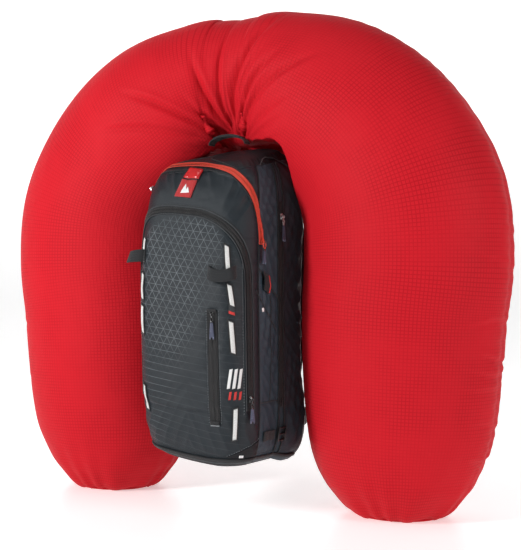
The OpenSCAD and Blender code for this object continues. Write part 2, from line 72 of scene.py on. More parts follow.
def make_camera():
    data = bpy.data.cameras.new("camera")
    data.sensor_width = SENSOR
    data.lens = FOCAL_SHARE * SENSOR
    camera = bpy.data.objects.new("camera", data)
    bpy.context.scene.collection.objects.link(camera)
    camera.location = (
        CAMERA_DISTANCE * math.sin(VIEW_AZIMUTH),
        -CAMERA_DISTANCE * math.cos(VIEW_AZIMUTH),
        CAMERA_HEIGHT,
    )
    camera.rotation_euler = (math.radians(90), 0, VIEW_AZIMUTH + CAMERA_YAW)
    bpy.context.scene.camera = camera


# Shapes ------------------------------------------------------------------------------------------
def mm(*sizes):
    """Millimetres as metres."""
    return tuple(v * MM for v in sizes)


def unit(v):
    v = np.asarray(v, float)
    return v / np.maximum(np.linalg.norm(v, axis=-1, keepdims=True), TINY)


def bell(x, middle, width):
    """1 at the middle, falling off to both sides."""
    return np.exp(-((x - middle) / width) ** 2)


def smooth(x, low, high):
    """0 below low, 1 above high, with soft ends between them."""
    t = np.clip((x - low) / (high - low), 0, 1)
    return t * t * (3 - 2 * t)


def new_object(name, verts, faces, uv=None):
    """uv is one pair for each vertex."""
    mesh = bpy.data.meshes.new(name)
    mesh.from_pydata([tuple(v) for v in verts], [], [tuple(f) for f in faces])
    mesh.update()
    if uv is not None:
        layer = mesh.uv_layers.new(name="UVMap")
        loop_verts = np.zeros(len(mesh.loops), np.int32)
        mesh.loops.foreach_get("vertex_index", loop_verts)
        layer.data.foreach_set("uv", np.asarray(uv, np.float32)[loop_verts].ravel())
    mesh.polygons.foreach_set("use_smooth", [True] * len(mesh.polygons))
    obj = bpy.data.objects.new(name, mesh)
    bpy.context.scene.collection.objects.link(obj)
    return obj


def grid_faces(rows, columns, closed):
    """Quads between rows of points; closed joins the last column to the first."""
    span = columns if closed else columns - 1
    return [
        (j * columns + i, j * columns + (i + 1) % columns,
         (j + 1) * columns + (i + 1) % columns, (j + 1) * columns + i)
        for j in range(rows - 1) for i in range(span)
    ]


def swept(path, out, profile, scale=1.0):
    """Vertices, faces and uv of a closed profile [(side, out), ...] along a path, ends capped.

    scale widens the profile to its sides, for the whole path or point by point.
    """
    path = np.asarray(path, float)
    out = np.asarray(out, float)
    t = unit(np.gradient(path, axis=0))
    o = unit(out - (out * t).sum(1, keepdims=True) * t)
    s = np.cross(o, t)
    prof = np.asarray(profile, float)
    n = len(prof)
    wide = s * np.reshape(scale, (-1, 1))
    verts = path[:, None] + wide[:, None] * prof[None, :, 0, None] + o[:, None] * prof[None, :, 1,
            None]
    length = np.concatenate([[0], np.cumsum(np.linalg.norm(np.diff(path, axis=0), axis=1))])
    uv = np.stack(np.broadcast_arrays(prof[None, :, 0], length[:, None]), -1)
    faces = grid_faces(len(path), n, True)
    faces.append(tuple(range(n - 1, -1, -1)))
    faces.append(tuple((len(path) - 1) * n + i for i in range(n)))
    return verts.reshape(-1, 3), faces, uv.reshape(-1, 2)


def merge(parts):
    """Several parts as one."""
    verts, faces, uv, base = [], [], [], 0
    for v, f, t in parts:
        verts.append(v)
        uv.append(t)
        faces += [tuple(i + base for i in face) for face in f]
        base += len(v)
    return np.concatenate(verts), faces, np.concatenate(uv)


def rounded(half_x, half_y, radius, steps):
    """The rounded corners of a rectangle; their centres stand half_x and half_y off its middle."""
    ring = []
    for cx, cy, start in ((1, 1, 0), (-1, 1, 90), (-1, -1, 180), (1, -1, 270)):
        for k in range(steps + 1):
            a = math.radians(start + 90 * k / steps)
            ring.append((cx * half_x + radius * math.cos(a), cy * half_y + radius * math.sin(a)))
    return ring


def band_profile(width, thick, r=None, steps=3):
    """A strap's section: flat faces and round edges. It starts on the strap's inner face."""
    r = min(r or thick / 2, thick / 2)
    points = []
    for cx, cy, start in ((1, -1, -90), (1, 1, 0), (-1, 1, 90), (-1, -1, 180)):
        for k in range(steps + 1):
            a = math.radians(start + 90 * k / steps)
            points.append((
                cx * (width / 2 - r) + r * math.cos(a),
                thick / 2 + cy * (thick / 2 - r) + r * math.sin(a),
            ))
    return points[::-1]


def strap(path, out, width, thick):
    """A strap along a path, width and thickness in mm."""
    return swept(path, out, band_profile(width * MM, thick * MM))


def round_profile(r, sides=12):
    return [(r * math.cos(2 * math.pi * k / sides), -r * math.sin(2 * math.pi * k / sides))
            for k in range(sides)]


def catmull(points, steps):
    """A smooth line through points, each span cut into steps."""
    p = np.asarray(points, float)
    q = np.vstack([2 * p[0] - p[1], p, 2 * p[-1] - p[-2]])
    out = []
    for i in range(1, len(q) - 2):
        a, b, c, d = q[i - 1], q[i], q[i + 1], q[i + 2]
        for k in range(steps):
            t = k / steps
            out.append((2 * b + (c - a) * t + (2 * a - 5 * b + 4 * c - d) * t * t
                        + (3 * b - a - 3 * c + d) * t ** 3) / 2)
    out.append(q[-2])
    return np.array(out)


def block(size, at=(0, 0, 0), bevel=0.15):
    """A box with chamfered edges, as vertices, faces and uv."""
    half = [v / 2 for v in size]
    b = min(size) * bevel
    corners = list(itertools.product((-1, 1), repeat=3))
    verts, index = [], {}
    for corner in corners:
        for axis in range(3):
            v = [k * (h - b) for k, h in zip(corner, half)]
            v[axis] = corner[axis] * half[axis]
            index[(*corner, axis)] = len(verts)
            verts.append(v)

    def at_corner(axis, side, first, second, own):
        """The vertex on the face square to own, at the corner with these signs."""
        p, q = [k for k in range(3) if k != axis]
        key = [0, 0, 0]
        key[axis], key[p], key[q] = side, first, second
        return index[(*key, own)]

    faces = []
    for axis in range(3):
        for side in (-1, 1):
            ring = ((-1, -1), (1, -1), (1, 1), (-1, 1))
            faces.append(tuple(at_corner(axis, side, a, c, axis) for a, c in ring))
    for axis in range(3):
        p, q = [k for k in range(3) if k != axis]
        for a, c in itertools.product((-1, 1), repeat=2):
            faces.append(tuple(at_corner(axis, end, a, c, own)
                               for end, own in ((-1, p), (1, p), (1, q), (-1, q))))
    faces += [tuple(index[(*corner, k)] for k in range(3)) for corner in corners]
    v = np.array(verts) + np.array(at)
    return v, faces, v[:, :2]


def placed(part, origin, x, y, z):
    """Carries a part made round the origin onto a place with the axes x, y, z."""
    v, f, t = part
    m = np.stack([x, y, z], 0)
    return np.asarray(v) @ m + np.asarray(origin), f, t


def fix_normals(obj):
    bm = bmesh.new()
    bm.from_mesh(obj.data)
    bmesh.ops.recalc_face_normals(bm, faces=bm.faces)
    bm.to_mesh(obj.data)
    bm.free()


def fitted(obj, material, body, replaces):
    """Gives an object its material, its body and the CAD nodes it stands for."""
    obj.data.materials.append(material)
    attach(obj, body)
    if replaces:
        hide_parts(*replaces)
    return obj


def piece(name, part, material, body, replaces=()):
    obj = new_object(name, *part)
    fix_normals(obj)
    return fitted(obj, material, body, replaces)


# Materials ---------------------------------------------------------------------------------------
class Shader:
    """A small builder for one principled material."""

    def __init__(self, name, color, roughness, sheen=0.0, metallic=0.0, coat=0.0):
        self.material = bpy.data.materials.new(name)
        self.material.use_nodes = True
        self.tree = self.material.node_tree
        self.bsdf = self.tree.nodes["Principled BSDF"]
        self.bsdf.inputs["Base Color"].default_value = (*color, 1)
        self.bsdf.inputs["Roughness"].default_value = roughness
        self.bsdf.inputs["Metallic"].default_value = metallic
        self.bsdf.inputs["Sheen Weight"].default_value = sheen
        self.bsdf.inputs["Sheen Roughness"].default_value = 0.4
        self.bsdf.inputs["Coat Weight"].default_value = coat
        coords = self.tree.nodes.new("ShaderNodeTexCoord")
        self.uv = coords.outputs["UV"]
        self.place = coords.outputs["Object"]

    def feed(self, socket, value):
        if isinstance(value, bpy.types.NodeSocket):
            self.tree.links.new(value, socket)
        else:
            socket.default_value = value

    def math(self, operation, a, b=0.0):
        node = self.tree.nodes.new("ShaderNodeMath")
        node.operation = operation
        self.feed(node.inputs[0], a)
        self.feed(node.inputs[1], b)
        return node.outputs[0]

    def times(self, a, b):
        return self.math("MULTIPLY", a, b)

    def plus(self, a, b):
        return self.math("ADD", a, b)

    def most(self, a, b):
        return self.math("MAXIMUM", a, b)

    def vary(self, base, value, by):
        """A base with a share of a value on top."""
        return self.plus(base, self.times(value, by))

    def split(self, vector):
        node = self.tree.nodes.new("ShaderNodeSeparateXYZ")
        self.feed(node.inputs[0], vector)
        return node.outputs

    def noise(self, scale, detail=3.0, stretch=None):
        node = self.tree.nodes.new("ShaderNodeTexNoise")
        node.inputs["Scale"].default_value = scale
        node.inputs["Detail"].default_value = detail
        source = self.place
        if stretch:
            mapping = self.tree.nodes.new("ShaderNodeMapping")
            mapping.inputs["Scale"].default_value = stretch
            self.feed(mapping.inputs["Vector"], source)
            source = mapping.outputs[0]
        self.feed(node.inputs["Vector"], source)
        return node.outputs["Fac"]

    def cells(self, scale):
        node = self.tree.nodes.new("ShaderNodeTexVoronoi")
        node.feature = "F1"
        node.inputs["Scale"].default_value = scale
        self.feed(node.inputs["Vector"], self.place)
        return node.outputs["Distance"]

    def step(self, value, low, high):
        node = self.tree.nodes.new("ShaderNodeMapRange")
        node.interpolation_type = "SMOOTHSTEP"
        self.feed(node.inputs["Value"], value)
        node.inputs["From Min"].default_value = low
        node.inputs["From Max"].default_value = high
        return node.outputs[0]

    def lines(self, coordinate, pitch, half):
        """1 on a line of half width half, every pitch, along a coordinate in metres."""
        wave = self.math("PINGPONG", self.plus(coordinate, 1000 * pitch), pitch / 2)
        return self.step(wave, half, half * 0.35)

    def mix(self, factor, a, b):
        node = self.tree.nodes.new("ShaderNodeMix")
        node.data_type = "RGBA"
        self.feed(node.inputs[0], factor)
        self.feed(node.inputs[6], a if isinstance(a, bpy.types.NodeSocket) else (*a, 1))
        self.feed(node.inputs[7], b if isinstance(b, bpy.types.NodeSocket) else (*b, 1))
        return node.outputs[2]

    def bump(self, height, distance, strength=1.0, under=None):
        node = self.tree.nodes.new("ShaderNodeBump")
        node.inputs["Strength"].default_value = strength
        node.inputs["Distance"].default_value = distance
        self.feed(node.inputs["Height"], height)
        if under is not None:
            self.feed(node.inputs["Normal"], under)
        return node.outputs[0]

    def finish(self, color=None, roughness=None, normal=None):
        if color is not None:
            self.feed(self.bsdf.inputs["Base Color"], color)
        if roughness is not None:
            self.feed(self.bsdf.inputs["Roughness"], roughness)
        if normal is not None:
            self.feed(self.bsdf.inputs["Normal"], normal)
        return self.material


def shade(color, by):
    return tuple(min(1.0, c * by) for c in color)


def weave(sh, pitch):
    """Plain weave of uv threads: a height that goes over and under."""
    x, y, _ = sh.split(sh.uv)
    warp = sh.math("SINE", sh.times(x, 2 * math.pi / pitch))
    weft = sh.math("SINE", sh.times(y, 2 * math.pi / pitch))
    return sh.times(warp, weft)


def airbag_cloth():
    sh = Shader("airbag_ripstop", (0.56, 0.010, 0.016), 0.55)
    sh.bsdf.inputs["Specular IOR Level"].default_value = 0.06
    x, y, _ = sh.split(sh.uv)
    cell = 6.0 * MM
    grid = sh.most(sh.lines(x, cell, 1.0 * MM), sh.lines(y, cell, 1.0 * MM))
    patchy = sh.step(sh.noise(9, 3), 0.36, 0.62)
    cloud = sh.noise(3.5, 4)
    tone = sh.mix(cloud, (0.50, 0.010, 0.018), (0.59, 0.014, 0.023))
    ink = sh.times(grid, sh.vary(0.14, patchy, 0.26))
    color = sh.mix(ink, tone, (0.24, 0.002, 0.006))
    normal = sh.bump(sh.noise(14, 4), 5.0 * MM, 0.30)
    normal = sh.bump(sh.noise(55, 5), 1.2 * MM, 0.5, normal)
    normal = sh.bump(grid, 0.25 * MM, 0.6, normal)
    normal = sh.bump(weave(sh, 1.0 * MM), 0.06 * MM, 0.5, normal)
    rough = sh.vary(0.46, sh.noise(60, 3), 0.16)
    return sh.finish(color, rough, normal)


def plain_cloth(name, color, rib=0.9, rough=0.56, grid=None, below=None, gloss=0.3):
    """below is a height and the colour of the cloth under it."""
    sh = Shader(name, color, rough)
    sh.bsdf.inputs["Specular IOR Level"].default_value = gloss
    cloud = sh.noise(9, 5)
    tone = sh.mix(cloud, shade(color, 0.72), shade(color, 1.32))
    if below:
        height, low_color = below
        under = sh.step(sh.split(sh.uv)[1], height + 0.5 * MM, height - 0.5 * MM)
        tone = sh.mix(under, tone, sh.mix(cloud, shade(low_color, 0.72), shade(low_color, 1.32)))
    normal = sh.bump(sh.noise(24, 3), 5.0 * MM, 0.55)
    normal = sh.bump(sh.noise(70, 5), 0.8 * MM, 0.35, normal)
    if grid:
        x, y, _ = sh.split(sh.uv)
        lines = sh.most(sh.lines(x, grid, 0.3 * MM), sh.lines(y, grid, 0.3 * MM))
        tone = sh.mix(sh.times(lines, 0.3), tone, shade(color, 1.7))
        normal = sh.bump(lines, 0.2 * MM, 0.5, normal)
    normal = sh.bump(weave(sh, rib * MM), 0.1 * MM, 0.6, normal)
    wear = sh.step(sh.noise(220, 2), 0.62, 0.75)
    tone = sh.mix(sh.times(wear, 0.18), tone, shade(color, 1.9))
    return sh.finish(tone, sh.vary(rough - 0.08, cloud, 0.16), normal)


def printed_cloth():
    """Pocket cloth with a print of small triangles that fades into level lines lower down."""
    base = (0.0100, 0.0150, 0.0195)
    sh = Shader("printed_cloth", base, 0.44)
    sh.bsdf.inputs["Specular IOR Level"].default_value = 0.30
    x, height, _ = sh.split(sh.uv)
    y = sh.vary(height, x, 0.14)
    row = 12.9 * MM
    half = 0.70 * MM
    slope = math.sqrt(3) / 2
    level_line = sh.lines(y, row, half)
    up = sh.plus(sh.times(x, slope), sh.times(y, 0.5))
    down = sh.math("SUBTRACT", sh.times(x, slope), sh.times(y, 0.5))
    slanted = sh.most(sh.lines(up, row, half), sh.lines(down, row, half))
    patchy = sh.step(sh.noise(20, 2), 0.30, 0.62)
    high = sh.step(y, 0.24, 0.37)
    # the print ends on a slanted front towards +X, and short of the pocket's edge
    reach = sh.vary(x, y, -0.35)
    left = sh.step(reach, -0.085, -0.135)
    arc = sh.math("DIVIDE", sh.most(sh.math("SUBTRACT", y, ARCH_FOOT), 0.0), ARCH_RISE)
    wide = sh.math("DIVIDE", x, ARCH_S)
    round_ = sh.math("SQRT", sh.plus(sh.times(arc, arc), sh.times(wide, wide)))
    inside = sh.step(round_, 0.97, 0.92)
    slanted = sh.times(slanted, sh.times(high, sh.plus(sh.times(left, 0.9), 0.1)))
    level_line = sh.times(level_line, sh.plus(sh.times(left, 0.6), 0.2))
    ink = sh.most(slanted, level_line)
    ink = sh.times(sh.times(ink, inside), sh.plus(sh.times(patchy, 0.5), 0.5))
    tone = sh.mix(sh.noise(9, 5), shade(base, 0.78), shade(base, 1.25))
    speck = sh.step(sh.noise(420, 2), 0.58, 0.72)
    tone = sh.mix(sh.times(speck, 0.22), tone, shade(base, 2.2))
    color = sh.mix(sh.times(ink, 0.85), tone, (0.125, 0.140, 0.155))
    normal = sh.bump(sh.noise(20, 3), 5.0 * MM, 0.5)
    normal = sh.bump(sh.noise(60, 5), 0.8 * MM, 0.35, normal)
    normal = sh.bump(weave(sh, 1.3 * MM), 0.14 * MM, 0.6, normal)
    normal = sh.bump(ink, 0.12 * MM, 0.5, normal)
    return sh.finish(color, None, normal)


def webbing_cloth(name, color, pitch=2.2, rough=0.7, edge=None):
    """Woven strap: ribs across its width, herringbone along it."""
    sh = Shader(name, color, rough, sheen=0.1)
    x, y, _ = sh.split(sh.uv)
    zig = sh.plus(y, sh.math("PINGPONG", sh.plus(x, 1.0), 2.5 * MM))
    ribs = sh.math("SINE", sh.times(zig, 2 * math.pi / (pitch * MM)))
    tone = sh.mix(sh.times(sh.plus(ribs, 1.0), 0.5), shade(color, 0.68), shade(color, 1.25))
    if edge:
        width, edge_color = edge
        outside = sh.step(sh.math("ABSOLUTE", x), width, width + 0.4 * MM)
        tone = sh.mix(outside, tone, edge_color)
    normal = sh.bump(ribs, 0.22 * MM, 0.8)
    normal = sh.bump(sh.noise(500, 2), 0.15 * MM, 0.3, normal)
    return sh.finish(tone, None, normal)


def mesh_foam(name, color):
    """Spacer mesh: a close net of holes over foam."""
    sh = Shader(name, color, 0.85, sheen=0.2)
    holes = sh.step(sh.cells(260), 0.28, 0.5)
    tone = sh.mix(holes, shade(color, 0.35), shade(color, 1.4))
    tone = sh.mix(sh.times(sh.noise(14, 4), 0.35), tone, shade(color, 2.2))
    normal = sh.bump(holes, 0.6 * MM, 0.8)
    normal = sh.bump(sh.noise(45, 4), 1.0 * MM, 0.35, normal)
    return sh.finish(tone, None, normal)


def moulded(name, color, rough=0.42, coat=0.0):
    sh = Shader(name, color, rough, coat=coat)
    grain = sh.noise(900, 3)
    scuff = sh.step(sh.noise(70, 6), 0.56, 0.72)
    tone = sh.mix(sh.times(scuff, 0.35), sh.mix(sh.noise(30, 4), shade(color, 0.85),
            shade(color, 1.15)), shade(color, 1.8))
    normal = sh.bump(grain, 0.12 * MM, 0.35)
    return sh.finish(tone, sh.vary(rough - 0.08, scuff, 0.25), normal)


BRUSHING = (1, 1, 12)


def metal(name, color, rough):
    sh = Shader(name, color, rough, metallic=1.0)
    brushed = sh.noise(180, 4, stretch=BRUSHING)
    marks = sh.step(sh.noise(55, 6), 0.58, 0.7)
    tone = sh.mix(brushed, shade(color, 0.8), shade(color, 1.12))
    rough_map = sh.vary(rough - 0.06, sh.plus(brushed, marks), 0.14)
    return sh.finish(tone, rough_map, sh.bump(brushed, 0.05 * MM, 0.3))


def rubber(name, color):
    sh = Shader(name, color, 0.55)
    tone = sh.mix(sh.noise(40, 5), shade(color, 0.75), shade(color, 1.4))
    return sh.finish(tone, None, sh.bump(sh.noise(600, 3), 0.1 * MM, 0.4))


AIRBAG = airbag_cloth()
AIRBAG_NECK = plain_cloth("neck_cloth", (0.52, 0.010, 0.018), 0.9, 0.5)
PRINTED = printed_cloth()
TOP_CLOTH = plain_cloth("top_cloth", (0.0125, 0.0150, 0.0175), 0.8, 0.44, gloss=0.22)
SIDE_CLOTH = plain_cloth("side_cloth", (0.026, 0.046, 0.060), 0.8, 0.45, gloss=0.3)
REAR_CLOTH = plain_cloth("rear_cloth", (0.036, 0.044, 0.054), 0.9, 0.45,
                         below=(0.195, (0.028, 0.046, 0.058)), gloss=0.3)
BASE_CLOTH = plain_cloth("base_cloth", (0.010, 0.011, 0.013), 1.4, grid=5 * MM, gloss=0.2)
WEBBING = webbing_cloth("black_webbing", (0.008, 0.0085, 0.010))
ELASTIC = webbing_cloth("black_elastic", (0.009, 0.0105, 0.013), 1.2)
TAPE = webbing_cloth("zip_tape", (0.007, 0.007, 0.008), 0.9, 0.6)
ORANGE_TAPE = webbing_cloth("orange_tape", (0.72, 0.055, 0.025), 0.9, 0.5)
PALE_BAND = webbing_cloth("pale_band", (0.88, 0.91, 0.86), 0.9, 0.42)
BADGE = webbing_cloth("badge_cloth", (0.55, 0.025, 0.028), 0.8, 0.5)
THREAD = webbing_cloth("pale_thread", (0.30, 0.32, 0.34), 0.6, 0.6)
THREAD_DARK = webbing_cloth("dark_thread", (0.030, 0.034, 0.038), 0.6, 0.6)
GREY_CORD = webbing_cloth("grey_piping", (0.036, 0.041, 0.047), 0.8, 0.6)
DARK_CORD = webbing_cloth("dark_piping", (0.011, 0.012, 0.014), 0.8, 0.6)
WHITE_PRINT = plain_cloth("white_print", (0.78, 0.79, 0.78), 0.8)
RED_PRINT = plain_cloth("red_print", (0.58, 0.040, 0.035), 0.8)
FOAM = mesh_foam("mesh_foam", (0.016, 0.017, 0.020))
GREY_FOAM = mesh_foam("grey_foam", (0.055, 0.058, 0.065))
BLACK_PLASTIC = moulded("black_plastic", (0.009, 0.009, 0.010), 0.38)
GREY_PLASTIC = moulded("grey_plastic", (0.12, 0.125, 0.16), 0.45)
LAVENDER = moulded("pull_lavender", (0.115, 0.125, 0.185), 0.4)
GLOSS_BLACK = moulded("gloss_black", (0.012, 0.012, 0.014), 0.12, coat=0.6)
ORANGE_PLASTIC = moulded("orange_plastic", (0.72, 0.06, 0.028), 0.4)
RED_PLASTIC = moulded("red_plastic", (0.50, 0.016, 0.018), 0.32, coat=0.3)
WHITE_PLASTIC = moulded("milky_plastic", (0.62, 0.62, 0.58), 0.5)
STEEL = metal("steel", (0.60, 0.60, 0.61), 0.28)
ALUMINIUM = metal("aluminium", (0.70, 0.71, 0.73), 0.34)
DARK_METAL = metal("dark_metal", (0.10, 0.10, 0.11), 0.35)
RUBBER = rubber("black_rubber", (0.018, 0.018, 0.020))
FLAP_RUBBER = rubber("flap_rubber", (0.55, 0.14, 0.05))

# Airbag ------------------------------------------------------------------------------------------
BAG_Y = 0.040
BAG_FLAT = 0.86
LEG_X = 0.319
# Centre line of the right half with its half width: x, z, half width
BAG_STATIONS = [(0.000, 0.809, 0.127), (0.034, 0.808, 0.132), (0.072, 0.801, 0.146),
                (0.150, 0.763, 0.170), (0.226, 0.712, 0.180), (0.286, 0.642, 0.184),
                (LEG_X + 0.001, 0.560, 0.190), (LEG_X + 0.008, 0.462, 0.192),
                (LEG_X + 0.001, 0.372, 0.189), (LEG_X - 0.003, 0.284, 0.185),
                (LEG_X - 0.006, 0.195, 0.178), (LEG_X - 0.009, 0.122, 0.165),
                (LEG_X - 0.009, 0.064, 0.141), (LEG_X - 0.009, 0.030, 0.116),
                (LEG_X - 0.009, 0.010, 0.097), (LEG_X - 0.009, 0.0005, 0.080),]
BAG_AROUND = 300
UV_RADIUS = 0.165
ENVELOPE_X = 0.1395
ENVELOPE_Z = 0.306
ENVELOPE_BASE = 0.380
PINCH = (0.012, 0.672)
# Creases that fan out from the pinch: angle from straight up in degrees, bend, start, end,
# depth and width in mm
FRONT_CREASES = [(-64, 1.1, 0.05, 0.30, 4.0, 6.0), (-47, 1.0, 0.03, 0.27, 7.5, 5.0),
                 (-36, 0.5, 0.02, 0.17, 6.0, 5.0), (-25, -0.2, 0.02, 0.24, 8.0, 6.0),
                 (-15, -0.9, 0.02, 0.27, 6.0, 5.0), (-3, -1.5, 0.03, 0.30, 9.0, 8.0),
                 (6, -1.5, 0.05, 0.24, 4.5, 4.0), (15, -1.5, 0.02, 0.25, 8.5, 5.5),
                 (26, -1.7, 0.02, 0.28, 9.0, 6.0), (38, -1.3, 0.02, 0.17, 5.0, 5.5),
                 (51, -0.8, 0.02, 0.20, 6.0, 6.0), (66, -0.6, 0.03, 0.17, 4.0, 6.0),
                 (20, -1.9, 0.10, 0.23, 3.0, 3.5), (-9, -1.1, 0.03, 0.15, 4.5, 4.0),
                 (-41, 0.8, 0.02, 0.13, 4.0, 4.0), (-56, 1.0, 0.05, 0.18, 3.0, 4.0),
                 (32, -1.5, 0.06, 0.19, 3.0, 3.5), (44, -1.0, 0.05, 0.15, 3.0, 3.5),]
# Level creases on the legs: height, start and end angle round the leg, depth in mm,
# side (1 right, -1 left)
LEG_CREASES = [(0.292, 20, 88, 3.6, 1), (0.270, 30, 90, 2.6, 1), (0.246, 40, 90, 1.8, 1),
               (0.118, 15, 75, 4.5, 1), (0.345, 55, 95, 1.8, 1), (0.235, 30, 92, 2.6, -1),
               (0.330, 40, 90, 2.0, -1), (0.150, 20, 80, 3.0, -1), (0.455, 34, 80, 2.4, 1),
               (0.500, 40, 78, 1.6, 1), (0.520, 44, 82, 1.2, 1), (0.165, 20, 70, 2.4, 1),]


def off_pack(p, sag, wide, power):
    """Moves points out of the pack's envelope, which the airbag presses against.

    sag is how far the airbag hangs over the outer end of the top.
    """
    h = np.maximum(p[..., 2] - ENVELOPE_BASE, 0)
    behind = smooth(p[..., 1], 0.010, 0.040) * smooth(np.abs(p[..., 0]), 0.0, 0.035)
    height = ENVELOPE_Z - np.maximum(sag * smooth(np.abs(p[..., 0]), 0.0, 0.09), 0.034 * behind)
    q = ((np.abs(p[..., 0]) / wide) ** power + (h / height) ** power) ** (1 / power)
    q = np.clip(q, 1e-6, 1)
    out = p.copy()
    out[..., 0] = p[..., 0] / q
    out[..., 2] = np.where(h > 0, ENVELOPE_BASE + h / q, p[..., 2])
    return out


def airbag_part(sign):
    line = catmull(BAG_STATIONS, 20)
    x, z, r = line.T
    tx, tz = unit(np.stack([np.gradient(x), np.gradient(z)], 1)).T
    tx[0], tz[0] = 1, 0
    tx[-1], tz[-1] = 0, -1
    a = np.linspace(0, 2 * math.pi, BAG_AROUND, endpoint=False)
    ca, sa = np.cos(a), np.sin(a)
    # the cloth keeps a soft seam line along the outer and inner edge of the U
    seam = 1 - 0.014 * bell(np.minimum(a, 2 * math.pi - a), 0, 0.10)
    rr = r[:, None] * seam[None]
    p = np.stack([x[:, None] - tz[:, None] * rr * ca, BAG_Y - BAG_FLAT * rr * sa,
                  z[:, None] + tx[:, None] * rr * ca,], -1)
    length = np.concatenate([[0], np.cumsum(np.hypot(np.diff(x), np.diff(z)))])
    p = off_pack(p, *((0.030, ENVELOPE_X, 6) if sign < 0 else (0.0, ENVELOPE_X + 0.008, 9)))
    # outward direction
    du = np.gradient(p, axis=0)
    dv = np.roll(p, -1, 1) - np.roll(p, 1, 1)
    n = unit(np.cross(dv, du))
    outward = p - np.stack([x, np.full_like(x, BAG_Y), z], 1)[:, None]
    n *= np.sign((n * outward).sum(-1, keepdims=True))
    move = airbag_folds(p, n, length, a, sign)
    p = p + n * move[..., None]
    p[0, :, 0] = 0
    p[..., 2] = np.maximum(p[..., 2], 0.0002)
    rows = len(x)
    uv = np.stack(np.broadcast_arrays(a[None] * UV_RADIUS, length[:, None]), -1).reshape(-1, 2)
    p[..., 0] *= sign
    faces = grid_faces(rows, BAG_AROUND, True)
    faces.append(tuple((rows - 1) * BAG_AROUND + i for i in range(BAG_AROUND)))
    return p.reshape(-1, 3), faces, uv


def airbag_folds(p, n, length, a, sign):
    """Metres to move each point of the airbag along its normal."""
    x, y, z = p[..., 0] * sign, p[..., 1], p[..., 2]
    front = n[..., 1] < 0.15
    move = np.zeros(x.shape)
    dx, dz = x - PINCH[0], z - PINCH[1]
    ro = np.hypot(dx, dz)
    for turn, (sel, flip) in enumerate(((front, 1), (~front, -1))):
        angle = np.arctan2(dx * flip, dz)
        for deg, bend, start, end, depth, width in FRONT_CREASES:
            centre = math.radians(deg + turn * 7) - bend * ro
            across = (angle - centre) * ro * 1000
            along = smooth(ro, start, start + 0.03) * (1 - smooth(ro, end - 0.12, end)) ** 1.3
            groove = np.exp(-np.abs(across / width) ** 1.3)
            lip = bell(across, 1.9 * width, 1.3 * width)
            move += np.where(sel, along * 1.3 * depth * (0.38 * lip - groove), 0) * MM
    # fine gathers close to the pack
    angle = np.arctan2(dx, dz)
    gather = np.abs(np.sin(angle * 17 + 2.2 * np.sin(angle * 5))) ** 0.7 * smooth(ro, 0.016, 0.034)
    move -= gather * 3.6 * MM * bell(ro, 0.035, 0.065) * (np.abs(angle) < 1.6)
    around = np.degrees(np.where(a > math.pi, a - 2 * math.pi, a))[None]
    for height, low, high, depth, side in LEG_CREASES:
        if side != sign:
            continue
        wave = height + 0.012 * np.sin(np.radians(around) * 3 + height * 40)
        # angle from the outer edge: 90 is the front of the leg
        span = (smooth(np.abs(around), 0, 8)
                * (1 - smooth(90 - low - (90 - np.abs(around)), -6, 14)))
        groove = np.exp(-np.abs((z - wave) / (4.5 * MM)) ** 1.2)
        lip = bell(z - wave, 9 * MM, 6 * MM)
        below = smooth(z, -1, 0.0) * (length[:, None] > 0.35)
        move += (below * depth * MM * (0.35 * lip - groove) * np.clip(span, 0, 1)
                 * (np.abs(around) < high))
    # short puckers along the seams
    total = length[-1]
    for edge in (0.0, 180.0):
        off = np.abs((around - edge + 180) % 360 - 180) / 180 * math.pi * UV_RADIUS
        pucker = np.sin(length[:, None] * 2 * math.pi / 0.026 + 2.5 * np.sin(length[:, None] * 23))
        move += 0.8 * MM * pucker * bell(off, 0, 0.030) * smooth(length[:, None], 0.12, 0.2)
    # gathers at the foot
    foot = bell(length[:, None], total, 0.075) * (length[:, None] < total - 0.001)
    pleat = np.sin(np.radians(around) * 15 + 2.4 * np.sin(np.radians(around) * 4))
    move += foot * (1.6 * pleat + 1.2 * np.sin(np.radians(around) * 6 + 1)) * MM
    # slack of the cloth
    slack = np.array([
        [noise.noise(Vector((px * 4.2, py * 4.2, pz * 4.2))) * 1.6
         + noise.noise(Vector((px * 15, py * 15, pz * 9))) * 0.5 for px, py, pz in row]
        for row in np.stack([x, y, z], -1)[:, ::2]])
    slack = np.repeat(slack, 2, axis=1)
    slack = (slack + np.roll(slack, 1, 1)) / 2
    move += slack * MM * smooth(z, 0.02, 0.12)
    return move


def make_airbag():
    for side, sign in SIDES:
        obj = piece(f"airbag_{side}", airbag_part(sign), AIRBAG, "pack",
                    (f"airbag_chamber_{side}",))


# Pack body ---------------------------------------------------------------------------------------
PACK_H = 0.546
FRONT_W = 0.232
BACK_W = 0.272
DEPTH = 0.206
BASE_Z = 0.094
BACK_Y = 0.012
CORNER_R = 0.050
REAR_R = 0.020
CROWN = 0.008
TOP_TILT = 0.045
FRONT_Y = BACK_Y - DEPTH
CENTRE_Y = BACK_Y - DEPTH / 2
MIDDLE_Z = BASE_Z + PACK_H / 2
FRONT_FLAT = FRONT_W / 2 - CORNER_R
CORNER_ARC = CORNER_R * math.pi / 2
SIDE_A = np.array([FRONT_W / 2, FRONT_Y + CORNER_R])
SIDE_B = np.array([BACK_W / 2, BACK_Y - REAR_R])
SIDE_RUN = float(np.linalg.norm(SIDE_B - SIDE_A))
REAR_ARC = REAR_R * math.pi / 2
S_CORNER = FRONT_FLAT + CORNER_ARC
S_ZIP = S_CORNER + SIDE_RUN / 2
S_REAR = S_CORNER + SIDE_RUN + REAR_ARC
S_BACK = S_REAR + BACK_W / 2 - REAR_R


